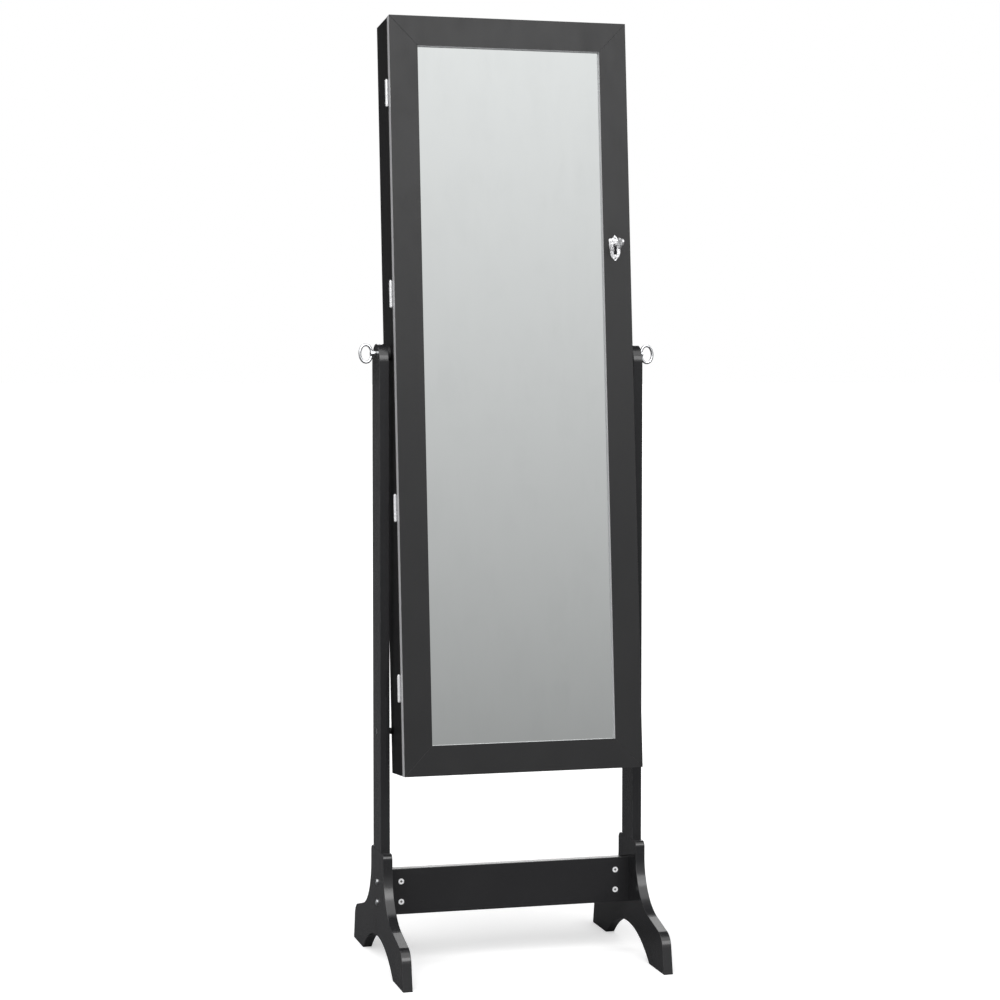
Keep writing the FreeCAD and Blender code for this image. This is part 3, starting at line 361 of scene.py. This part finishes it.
def nut_plating():
    """Bright plated nuts, with painted shade darkening the bottom of the cross in each face."""
    mat, tree, shader = clean_material("nut_plating")
    place = object_coords(tree)
    split = tree.nodes.new("ShaderNodeSeparateXYZ")
    tree.links.new(place, split.inputs["Vector"])
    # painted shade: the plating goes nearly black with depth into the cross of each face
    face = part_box("barrel_nuts")[0].y
    slot_shade_start, slot_shade_full = face + 0.0002, face + 0.0012
    painted_slot_shade = remap(tree, split.outputs["Y"], slot_shade_start, slot_shade_full, 0.0, 0.93)
    dull = remap(tree, noise(tree, 400.0, 3.0, 0.6, place), 0.35, 0.7, 0.0, 0.4)
    plating = mix_color(tree, dull, (0.86, 0.86, 0.87), (0.5, 0.5, 0.51))
    tree.links.new(mix_color(tree, painted_slot_shade, plating, (0.02, 0.02, 0.02)), shader.inputs["Base Color"])
    tree.links.new(remap(tree, dull, 0.0, 0.4, 0.28, 0.4), shader.inputs["Roughness"])
    polish = place_group(tree, POLISH_LINES, Place=place).outputs["Mask"]
    bump(tree, shader, polish, LINE_DEPTH, 0.2)
    plain(shader, Metallic=0.2)
    return mat


def moulded(name, color, worn, rough, scale):
    """Moulded plastic or rubber with a fine sparked texture."""
    mat, tree, shader = clean_material(name)
    place = object_coords(tree)
    grain = place_group(tree, SPRAY_TEXTURE, Place=place, Peel_Scale=scale, Wave_Share=0.1).outputs["Height"]
    smudge = place_group(tree, HANDLING, Place=place).outputs["Mask"]
    tree.links.new(mix_color(tree, smudge, color, worn), shader.inputs["Base Color"])
    tree.links.new(remap(tree, grain, 0.3, 0.9, rough - 0.06, rough + 0.1), shader.inputs["Roughness"])
    bump(tree, shader, grain, GRAIN_DEPTH, 0.5)
    return mat, shader


def fibre(name, light, dark, grain, rough, height):
    """Bare wood or pressed board."""
    mat, tree, shader = clean_material(name)
    place = object_coords(tree)
    node = place_group(tree, FIBRES, Place=place)
    tree.links.new(constant_vector(tree, grain), node.inputs["Grain"])
    specks = place_group(tree, SPECKS, Place=place, Scale=700.0, Size=0.3).outputs["Mask"]
    tone = mix_color(tree, node.outputs["Mask"], light, dark)
    tone = mix_color(tree, math_node(tree, "MULTIPLY", specks, 0.4), tone, tuple(c * 0.45 for c in dark))
    tree.links.new(tone, shader.inputs["Base Color"])
    tree.links.new(remap(tree, node.outputs["Mask"], 0.0, 1.0, rough, rough + 0.12),
                   shader.inputs["Roughness"])
    bump(tree, shader, node.outputs["Height"], height, 0.5)
    return mat


def velvet(name, deep, lit, tint):
    """Velvet: deep where the pile is brushed away from the light, lit where towards it, tint on its tips."""
    mat, tree, shader = clean_material(name)
    place = object_coords(tree)
    node = place_group(tree, NAP, Place=place)
    tone = mix_color(tree, node.outputs["Brushed"], deep, lit)
    fleck = mix_color(tree, remap(tree, node.outputs["Height"], 0.45, 0.7, 0.0, 0.35), tone, tint)
    tree.links.new(fleck, shader.inputs["Base Color"])
    tree.links.new(remap(tree, node.outputs["Brushed"], 0.0, 1.0, 0.95, 0.8), shader.inputs["Roughness"])
    plain(shader, Sheen_Weight=0.55, Sheen_Roughness=0.35, Sheen_Tint=(*tint, 1.0), Specular_IOR_Level=0.2)
    bump(tree, shader, node.outputs["Height"], PILE_DEPTH, 0.6)
    return mat


def silvered_glass():
    """Mirror: silver behind clear glass, with the faintest bloom where it was wiped."""
    mat, tree, shader = clean_material("silvered_glass")
    place = object_coords(tree)
    smudge = place_group(tree, HANDLING, Place=place).outputs["Mask"]
    tree.links.new(mix_color(tree, smudge, (0.86, 0.885, 0.88), (0.83, 0.855, 0.85)),
                   shader.inputs["Base Color"])
    bump(tree, shader, noise(tree, 3.0, 1.0, 0.3, place), GLASS_WAVE, 0.05)
    plain(shader, Metallic=1.0, Roughness=0.0)
    return mat


def clear_rubber():
    """The door's small clear bumpers."""
    mat, shader = moulded("clear_rubber", (0.75, 0.76, 0.74), (0.6, 0.6, 0.57), 0.35, 500.0)
    plain(shader, Transmission_Weight=0.6, IOR=1.45)
    return mat


# The last of these is the lighter tone of rounded edges: partly worn paint, partly a painted highlight.
BLACK, BLACK_LIGHT, WORN_AND_LIT_EDGE = (0.0125, 0.0125, 0.0135), (0.0165, 0.0165, 0.0175), (0.07, 0.07, 0.072)
across_x = (1.0, 0.0, 0.0)
finishes = {
    "stand_lacquer": lacquer("stand_lacquer", BLACK, BLACK_LIGHT, 0.15, 0.45, 650.0, across_x, WORN_AND_LIT_EDGE),
    "stretcher_lacquer": lacquer("stretcher_lacquer", BLACK, BLACK_LIGHT, 0.18, 0.45, 650.0,
                                 (0.0, 1.0, 0.0), WORN_AND_LIT_EDGE),
    "door_lacquer": lacquer("door_lacquer", (0.014, 0.014, 0.0146), (0.0175, 0.0175, 0.0181), 0.36, 0.25,
                            650.0, across_x, WORN_AND_LIT_EDGE, (0.42, 0.42, 0.43)),
    "box_lacquer": lacquer("box_lacquer", (0.0105, 0.0105, 0.0112), (0.014, 0.014, 0.0148), 0.36, 0.18,
                           480.0, across_x, WORN_AND_LIT_EDGE),
    "inner_board": lacquer("inner_board", (0.012, 0.012, 0.0125), (0.02, 0.02, 0.0205), 0.5, 0.35, 900.0,
                           across_x, WORN_AND_LIT_EDGE),
    "chrome": metal("chrome", (0.83, 0.84, 0.86), (0.55, 0.56, 0.58), 0.07, 0.1, 0.5),
    "hinge_nickel": metal("hinge_nickel", (0.85, 0.85, 0.86), (0.6, 0.6, 0.62), 0.2, 0.1, 0.6, 0.55),
    "key_nickel": metal("key_nickel", (0.66, 0.66, 0.67), (0.45, 0.45, 0.46), 0.24, 0.1, 0.6, 0.75),
    "pressed_nickel": metal("pressed_nickel", (0.62, 0.62, 0.63), (0.3, 0.3, 0.31), 0.24, 0.1, 1.0,
                            0.8, 0.0012),
    "nut_plating": nut_plating(),
    "dark_steel": metal("dark_steel", (0.05, 0.05, 0.055), (0.025, 0.025, 0.026), 0.38, 0.16, 1.0),
    "zinc_steel": metal("zinc_steel", (0.68, 0.69, 0.7), (0.42, 0.43, 0.45), 0.26, 0.16, 1.0),
    "black_nylon": moulded("black_nylon", (0.016, 0.016, 0.017), (0.035, 0.035, 0.036), 0.45, 1400.0)[0],
    "velvet": velvet("velvet", (0.010, 0.0095, 0.0115), (0.032, 0.030, 0.036), (0.30, 0.29, 0.34)),
    "hardboard": fibre("hardboard", (0.30, 0.19, 0.11), (0.17, 0.10, 0.055), (260.0, 260.0, 260.0), 0.7,
                       0.0001),
    "dowel_wood": fibre("dowel_wood", (0.62, 0.45, 0.28), (0.42, 0.27, 0.15), (500.0, 500.0, 30.0), 0.6,
                        0.0001),
    "clear_rubber": clear_rubber(),
    "mirror": silvered_glass(),
}

NODE_FINISHES = {
    "stand_lacquer": ("left_foot_board", "right_foot_board", "left_post", "right_post"),
    "stretcher_lacquer": ("stretcher_board",),
    "door_lacquer": ("left_stile", "right_stile", "top_rail", "bottom_rail"),
    "box_lacquer": ("left_side_panel", "right_side_panel", "top_panel", "bottom_panel", "back_panel"),
    "inner_board": ("shelf_boards", "shelf_rails", "bin_front", "hook_rail", "door_hook_rail",
                    "earring_bars", "bracelet_rod", "rod_sockets"),
    "chrome": ("left_ring_bolt", "right_ring_bolt", "necklace_hooks", "door_hooks"),
    "hinge_nickel": ("cabinet_hinge_leaves", "door_hinge_leaves", "hinge_pins"),
    "key_nickel": ("key",),
    "pressed_nickel": ("escutcheon", "escutcheon_pins"),
    "nut_plating": ("barrel_nuts",),
    "zinc_steel": ("stretcher_bolts", "stop_peg_screws", "pivot_inserts",
                   "lock_screws", "lock_cam", "cam_screw", "strike_plate", "magnet_plate",
                   "cabinet_hinge_screws", "door_hinge_screws"),
    "dark_steel": ("lock_plug", "lock_case"),
    "black_nylon": ("stop_pegs", "pivot_bushes", "magnet_catch"),
    "hardboard": ("mirror_backing",),
    "dowel_wood": ("post_dowels",),
    "clear_rubber": ("door_bumpers",),
    "mirror": ("mirror_glass",),
    "velvet": ("back_linings", "shelf_linings", "ring_rolls", "door_lining"),
}
for finish, names in NODE_FINISHES.items():
    for name in names:
        slots = nodes[name].data.materials
        slots.clear()
        slots.append(finishes[finish])


# ---------------------------------------------------------------- velvet pieces inside the cabinet
# They are shaped upright, measured from the pivot, and then leaned back with the cabinet.
CLOTH = 0.0005                                          # the velvet's own thickness
SIDE_GAP = 0.0006                                       # what a lining keeps clear of the boards round it
SEAM_MARGIN = 0.007                                     # from a lining's edge to its row of stitches
SEAM_SIDE = 0.0005                                      # width of each side of the stitched groove
SEAM_DEPTH = 0.0004
TURNED_EDGE = 0.0005                                    # radius of a lining's turned edge
UNEVENNESS = 0.0005
BACK_CELL = 0.012                                       # height of one row of a back panel's mesh
FEWEST_ROWS = 6

ROLL_END_ROOM = 0.003                                   # what the bare roll leaves for the cover to fill
ROLL_SIDE_ROOM = 0.0018
ROLL_ROUNDING = 0.42                                    # of the roll's depth, on its two upper edges
ROLL_CELL = 0.0023                                      # mesh size of the cover
ROLL_PUCKERS = 0.0009
ROLL_SWELL = 0.0007                                     # furthest that the stuffing pushes the cover
ROLL_GAP = 0.0004                                       # left free at each end of a roll and above it
COVER_PRESSURE = 4.0
COVER_FRAMES = 20                                       # length of the cloth simulation


def only(piece):
    bpy.ops.object.select_all(action="DESELECT")
    piece.select_set(True)
    bpy.context.view_layer.objects.active = piece


def add_modifier(piece, name, kind, **values):
    modifier = piece.modifiers.new(name, kind)
    for label, value in values.items():
        setattr(modifier, label, value)
    return modifier


def apply_modifier(piece, name):
    only(piece)
    bpy.ops.object.modifier_apply(modifier=name)


def corners(points):
    """Lowest and highest corner of the box round the points."""
    return tuple(Vector(pick(p[axis] for p in points) for axis in range(3)) for pick in (min, max))


def solid_boxes(node):
    """Lowest and highest corner of each solid in a CAD node, upright from the pivot, lowest solid first."""
    copy = bpy.data.objects.new("copy", nodes[node].data.copy())
    bpy.context.scene.collection.objects.link(copy)
    only(copy)
    bpy.ops.object.mode_set(mode="EDIT")
    bpy.ops.mesh.select_all(action="SELECT")
    bpy.ops.mesh.remove_doubles(threshold=1e-6)
    bpy.ops.mesh.separate(type="LOOSE")
    bpy.ops.object.mode_set(mode="OBJECT")
    boxes = []
    for part in list(bpy.context.selected_objects):
        points = [LEAN.inverted() @ (v.co - PIVOT) for v in part.data.vertices]
        boxes.append(corners(points))
        bpy.data.objects.remove(part)
    return sorted(boxes, key=lambda box: (round(box[0].z, 4), box[0].y))


def finish_piece(piece, name, body, finish, smooth=40.0):
    """Lean the upright piece back to its place in the frame, and give it its name, body and finish."""
    piece.name = name
    piece.data.name = name
    only(piece)
    bpy.ops.object.transform_apply(location=True, rotation=True, scale=True)
    piece.data.transform(Matrix.Translation(PIVOT) @ LEAN.to_4x4())
    bpy.ops.object.shade_smooth_by_angle(angle=math.radians(smooth))
    piece.data.materials.clear()
    piece.data.materials.append(finishes[finish])
    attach(piece, body)


def clouds(name, size):
    """Soft blotchy texture for displacing a surface, with blotches of the given size."""
    texture = bpy.data.textures.new(name, "CLOUDS")
    texture.noise_scale = size
    texture.noise_depth = 1
    return texture


def lining(name, body, low, high, face, cells):
    """A velvet panel laid on a board: its edges turned down, a stitched border, and slight unevenness.
    face is the direction that it shows: "front" or "up"."""
    middle = (low + high) / 2
    if face == "front":
        middle.y = low.y
        turn, length, depth = (math.radians(90.0), 0.0, 0.0), high.z - low.z, high.y - low.y
    else:
        middle.z = high.z
        turn, length, depth = (0.0, 0.0, 0.0), high.y - low.y, high.z - low.z
    width = high.x - low.x - 2 * SIDE_GAP
    length -= 2 * SIDE_GAP
    bpy.ops.object.select_all(action="DESELECT")
    bpy.ops.mesh.primitive_grid_add(x_subdivisions=cells[0], y_subdivisions=cells[1], size=1.0,
                                    location=middle, rotation=turn)
    piece = bpy.context.object
    piece.scale = (width, length, 1.0)
    only(piece)
    bpy.ops.object.transform_apply(location=True, rotation=True, scale=True)
    bpy.ops.object.mode_set(mode="EDIT")
    bpy.ops.mesh.select_all(action="SELECT")
    bpy.ops.mesh.inset(thickness=SEAM_MARGIN, depth=0.0, use_boundary=True)
    bpy.ops.mesh.inset(thickness=SEAM_SIDE, depth=-SEAM_DEPTH, use_boundary=True)
    bpy.ops.mesh.inset(thickness=SEAM_SIDE, depth=SEAM_DEPTH, use_boundary=True)
    bpy.ops.mesh.select_all(action="DESELECT")
    bpy.ops.mesh.select_mode(type="EDGE")
    bpy.ops.mesh.select_non_manifold(extend=False, use_wire=False, use_boundary=True, use_multi_face=False,
                                     use_non_contiguous=False, use_verts=False)
    back = (0.0, depth, 0.0) if face == "front" else (0.0, 0.0, -depth)
    bpy.ops.mesh.extrude_region_move(TRANSFORM_OT_translate={"value": back})
    bpy.ops.mesh.select_mode(type="VERT")
    bpy.ops.object.mode_set(mode="OBJECT")
    add_modifier(piece, "turned_edge", "BEVEL", width=TURNED_EDGE, segments=3, limit_method="ANGLE",
                 angle_limit=math.radians(50.0))
    apply_modifier(piece, "turned_edge")
    add_modifier(piece, "unevenness", "DISPLACE", strength=UNEVENNESS, mid_level=0.9, texture=SLOW_CLOUDS,
                 texture_coords="LOCAL")
    apply_modifier(piece, "unevenness")
    add_modifier(piece, "cloth", "SOLIDIFY", thickness=CLOTH, offset=-1.0)
    apply_modifier(piece, "cloth")
    finish_piece(piece, name, body, "velvet")
    return piece


def swell(piece, cap):
    """Stuff the cover: cloth under a little air pressure, with no point moving further than cap."""
    start = [v.co.copy() for v in piece.data.vertices]
    cover = add_modifier(piece, "cover", "CLOTH")
    cover.settings.use_pressure = True
    cover.settings.uniform_pressure_force = COVER_PRESSURE
    cover.settings.effector_weights.gravity = 0.0
    cover.point_cache.frame_start = 1
    cover.point_cache.frame_end = COVER_FRAMES
    for number in range(1, COVER_FRAMES + 1):
        bpy.context.scene.frame_set(number)
    apply_modifier(piece, "cover")
    bpy.context.scene.frame_set(1)
    for vertex, place in zip(piece.data.vertices, start):
        moved = vertex.co - place
        if moved.length > cap:
            vertex.co = place + moved * (cap / moved.length)


def fill_box(piece, low, high):
    """Stretch and move the piece a little, so that it just fills the box from low to high."""
    first, last = corners([v.co for v in piece.data.vertices])
    ratios = [(high[axis] - low[axis]) / (last[axis] - first[axis]) for axis in range(3)]
    to_middle, from_middle = Matrix.Translation(-(first + last) / 2), Matrix.Translation((low + high) / 2)
    piece.data.transform(from_middle @ Matrix.Diagonal((*ratios, 1.0)) @ to_middle)


def ring_roll(low, high):
    """One foam roll in its velvet cover: a rounded bar that swells between its ends."""
    middle, size = (low + high) / 2, high - low
    bpy.ops.object.select_all(action="DESELECT")
    bpy.ops.mesh.primitive_cube_add(size=1.0, location=middle)
    roll = bpy.context.object
    roll.scale = (size.x - ROLL_END_ROOM, size.y - ROLL_SIDE_ROOM, size.z - ROLL_SIDE_ROOM)
    only(roll)
    bpy.ops.object.transform_apply(location=True, rotation=True, scale=True)
    bpy.ops.object.mode_set(mode="EDIT")
    bpy.ops.mesh.select_mode(type="EDGE")
    bpy.ops.mesh.select_all(action="DESELECT")
    bpy.ops.object.mode_set(mode="OBJECT")
    for edge in roll.data.edges:
        a, b = (roll.data.vertices[i].co for i in edge.vertices)
        along = abs(a.x - b.x) > size.x / 2
        edge.select = along and a.z > middle.z
    bpy.ops.object.mode_set(mode="EDIT")
    bpy.ops.mesh.bevel(offset=size.y * ROLL_ROUNDING, offset_type="OFFSET", segments=6)
    bpy.ops.object.mode_set(mode="OBJECT")
    add_modifier(roll, "skin", "REMESH", mode="VOXEL", voxel_size=ROLL_CELL)
    apply_modifier(roll, "skin")
    swell(roll, ROLL_SWELL)
    add_modifier(roll, "puckers", "DISPLACE", strength=ROLL_PUCKERS, mid_level=0.75, texture=FINE_CLOUDS,
                 texture_coords="LOCAL")
    apply_modifier(roll, "puckers")
    add_modifier(roll, "soften", "SUBSURF", levels=1, render_levels=1)
    apply_modifier(roll, "soften")
    side = Vector((ROLL_GAP, 0.0, 0.0))
    fill_box(roll, low + side, high - side - Vector((0.0, 0.0, ROLL_GAP)))
    return roll


SLOW_CLOUDS = clouds("slow_clouds", 0.06)
FINE_CLOUDS = clouds("fine_clouds", 0.011)
for number, (low, high) in enumerate(solid_boxes("back_linings"), start=1):
    rows = max(FEWEST_ROWS, round((high.z - low.z) / BACK_CELL))
    panel = lining(f"back_velvet_{number}", "cabinet", low, high, "front", (30, rows))
    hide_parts("back_linings")
for number, (low, high) in enumerate(solid_boxes("shelf_linings"), start=1):
    panel = lining(f"shelf_velvet_{number}", "cabinet", low, high, "up", (30, 6))
    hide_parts("shelf_linings")
for low, high in solid_boxes("door_lining"):
    panel = lining("door_velvet", "door", low, high, "front", (26, 90))
    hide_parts("door_lining")

roll_boxes = solid_boxes("ring_rolls")
rolls = [ring_roll(*roll_boxes[0])]
for box in roll_boxes[1:]:
    roll = rolls[0].copy()
    roll.data = rolls[0].data.copy()
    bpy.context.scene.collection.objects.link(roll)
    roll.location = (0.0, box[0].y - roll_boxes[0][0].y, 0.0)
    rolls.append(roll)
for number, roll in enumerate(rolls, start=1):
    finish_piece(roll, f"ring_roll_{number}", "cabinet", "velvet", 180.0)
    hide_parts("ring_rolls")


# ---------------------------------------------------------------- nails round the back
NAIL_INSET = 0.0035                                     # from the back panel's edge to the nails
NAILS_UP, NAILS_ACROSS = 10, 4
NAIL_RADIUS, NAIL_HEIGHT = 0.0019, 0.0009
NAIL_PROUD = 0.0001                                     # how far the head's middle stands off the panel


def back_nails():
    """Domed nail heads in a row along each edge of the back panel."""
    low, high = solid_boxes("back_panel")[0]
    left, right = low.x + NAIL_INSET, high.x - NAIL_INSET
    bottom, top = low.z + NAIL_INSET, high.z - NAIL_INSET
    spots = [(x, bottom + (top - bottom) * (step + 0.5) / NAILS_UP)
             for step in range(NAILS_UP) for x in (left, right)]
    spots += [(left + (right - left) * (step + 0.5) / NAILS_ACROSS, z)
              for step in range(NAILS_ACROSS) for z in (bottom, top)]
    bpy.ops.object.select_all(action="DESELECT")
    bpy.ops.mesh.primitive_cylinder_add(vertices=20, radius=NAIL_RADIUS, depth=NAIL_HEIGHT,
                                        location=(0.0, high.y + NAIL_PROUD, 0.0),
                                        rotation=(math.radians(-90.0), 0.0, 0.0))
    first = bpy.context.object
    bpy.ops.object.transform_apply(location=True, rotation=True, scale=True)
    for face in first.data.polygons:
        face.select = face.normal.y > 0.9
    for edge in first.data.edges:
        edge.select = False
    bpy.ops.object.mode_set(mode="EDIT")
    bpy.ops.mesh.select_mode(type="FACE")
    bpy.ops.mesh.bevel(offset=0.0004, segments=3)
    bpy.ops.mesh.inset(thickness=0.0006, depth=0.00012)
    bpy.ops.mesh.inset(thickness=0.0005, depth=0.00004)
    bpy.ops.object.mode_set(mode="OBJECT")
    heads = []
    for x, z in spots:
        head = first.copy()
        head.data = first.data.copy()
        bpy.context.scene.collection.objects.link(head)
        head.location = (x, 0.0, z)
        heads.append(head)
    bpy.data.objects.remove(first)
    bpy.ops.object.select_all(action="DESELECT")
    for head in heads:
        head.select_set(True)
    bpy.context.view_layer.objects.active = heads[0]
    bpy.ops.object.transform_apply(location=True, rotation=True, scale=True)
    bpy.ops.object.join()
    finish_piece(bpy.context.object, "back_nails", "cabinet", "zinc_steel")


back_nails()


# ---------------------------------------------------------------- floor, light and camera
PAPER_DARK, PAPER_LIGHT = (0.86, 0.86, 0.86), (0.88, 0.88, 0.88)
PAPER_REFLECTED = (0.11, 0.11, 0.113)                   # how the floor shows in blurred reflections
PAPER_GLOW = 0.42                                       # the floor's own light, for the camera alone
FLOOR_SIZE = 900.0


def make_floor():
    """White paper floor. It glows a little for the camera, and blurred reflections show it darker."""
    mat, tree, shader = clean_material("studio_floor")
    place = object_coords(tree)
    paper = mix_color(tree, noise(tree, 5.0, 3.0, 0.5, place), PAPER_DARK, PAPER_LIGHT)
    rays = tree.nodes.new("ShaderNodeLightPath")
    blurred = math_node(tree, "SUBTRACT", rays.outputs["Is Glossy Ray"], rays.outputs["Is Singular Ray"])
    dimmed = mix_color(tree, math_node(tree, "MAXIMUM", blurred, 0.0), paper, PAPER_REFLECTED)
    tree.links.new(dimmed, shader.inputs["Base Color"])
    tree.links.new(math_node(tree, "MULTIPLY", rays.outputs["Is Camera Ray"], PAPER_GLOW),
                   shader.inputs["Emission Strength"])
    shader.inputs["Emission Color"].default_value = (1.0, 1.0, 1.0, 1.0)
    plain(shader, Roughness=0.8, Specular_IOR_Level=0.2)
    bpy.ops.object.select_all(action="DESELECT")
    bpy.ops.mesh.primitive_plane_add(size=FLOOR_SIZE, location=(0.0, 0.0, 0.0))
    floor = bpy.context.object
    floor.name = "studio_floor"
    floor.data.materials.append(mat)
    return floor


WALL_BASE, WALL_RISE = 0.3, 0.85                        # front wall: light at the floor, and more above
SIDE_WALL = 0.6                                         # light of the wall behind the object on the right
ROOM_LIGHT = 0.08                                       # light from everywhere else


def make_world():
    """White to the camera. All else sees a dim room, with a lit wall in front and one behind on the right."""
    world = bpy.data.worlds.new("studio")
    bpy.context.scene.world = world
    world.use_nodes = True
    tree = world.node_tree
    tree.nodes.clear()
    out = tree.nodes.new("ShaderNodeOutputWorld")
    seen = tree.nodes.new("ShaderNodeBackground")
    seen.inputs["Color"].default_value = (1.0, 1.0, 1.0, 1.0)
    seen.inputs["Strength"].default_value = 1.0
    lit = tree.nodes.new("ShaderNodeBackground")
    direction = tree.nodes.new("ShaderNodeTexCoord").outputs["Generated"]
    split = tree.nodes.new("ShaderNodeSeparateXYZ")
    tree.links.new(direction, split.inputs["Vector"])
    front = remap(tree, split.outputs["Y"], -0.8, 0.3, 1.0, 0.0)
    high = remap(tree, split.outputs["Z"], -0.02, 0.36, 0.0, 1.0)
    rise = math_node(tree, "ADD", math_node(tree, "MULTIPLY", high, WALL_RISE), WALL_BASE)
    wall = math_node(tree, "MULTIPLY", remap(tree, split.outputs["Y"], 0.7, 0.9, 0.0, 1.0),
                     remap(tree, split.outputs["X"], 0.12, 0.22, 0.0, 1.0))
    wall = math_node(tree, "MULTIPLY", wall, remap(tree, split.outputs["Z"], -0.02, 0.03, 0.0, SIDE_WALL))
    tone = math_node(tree, "ADD", math_node(tree, "MULTIPLY", front, rise),
                     math_node(tree, "ADD", wall, ROOM_LIGHT))
    rays = tree.nodes.new("ShaderNodeLightPath")
    tree.links.new(tone, lit.inputs["Strength"])
    choose = tree.nodes.new("ShaderNodeMixShader")
    tree.links.new(rays.outputs["Is Camera Ray"], choose.inputs[0])
    tree.links.new(lit.outputs[0], choose.inputs[1])
    tree.links.new(seen.outputs[0], choose.inputs[2])
    tree.links.new(choose.outputs[0], out.inputs["Surface"])


def make_sky_light():
    """One very wide soft light from above and in front."""
    data = bpy.data.lights.new("sky_light", "SUN")
    data.energy = 2.5
    data.angle = math.radians(80.0)
    lamp = bpy.data.objects.new("sky_light", data)
    bpy.context.scene.collection.objects.link(lamp)
    lamp.rotation_euler = Vector((0.35, 0.55, -1.0)).to_track_quat("-Z", "Y").to_euler()


def softbox(name, place, aim, width, height, watts):
    """Soft light panel, turned from its place to its aim. It doesn't light the floor or the mirror."""
    data = bpy.data.lights.new(name, "AREA")
    data.shape = "RECTANGLE"
    data.size = width
    data.size_y = height
    data.energy = watts
    lamp = bpy.data.objects.new(name, data)
    bpy.context.scene.collection.objects.link(lamp)
    lamp.location = place
    lamp.rotation_euler = (Vector(aim) - Vector(place)).to_track_quat("-Z", "Y").to_euler()
    lamp.visible_camera = False
    unlit = bpy.data.collections.new(name + "_unlit")
    for obj in (nodes["mirror_glass"], floor):
        unlit.objects.link(obj)
    for item in unlit.collection_objects:
        item.light_linking.link_state = "EXCLUDE"
    lamp.light_linking.receiver_collection = unlit


floor = make_floor()
make_world()
make_sky_light()
softbox("front_panel", place=(0.8, -3.6, 2.75), aim=(0.0, 0.0, 0.6), width=2.4, height=1.7, watts=54.0)
softbox("left_panel", place=(-3.2, -0.9, 1.2), aim=(0.0, 0.0, 0.8), width=0.9, height=2.2, watts=7.0)
softbox("rear_panel", place=(1.8, 3.6, 2.3), aim=(0.0, 0.0, 0.8), width=2.6, height=2.6, watts=55.0)

CAMERA_PLACE = (-0.97362, -3.59386, 0.91117)
CAMERA_DIP, CAMERA_TURN = 2.905, -14.956                # degrees below level, and round to its right
camera_data = bpy.data.cameras.new("camera")
camera_data.sensor_width = 36.0
camera_data.lens = 85.51
camera = bpy.data.objects.new("camera", camera_data)
bpy.context.scene.collection.objects.link(camera)
camera.location = CAMERA_PLACE
camera.rotation_euler = (math.radians(90.0 - CAMERA_DIP), 0.0, math.radians(CAMERA_TURN))
bpy.context.scene.camera = camera
bpy.context.scene.view_settings.view_transform = "Standard"
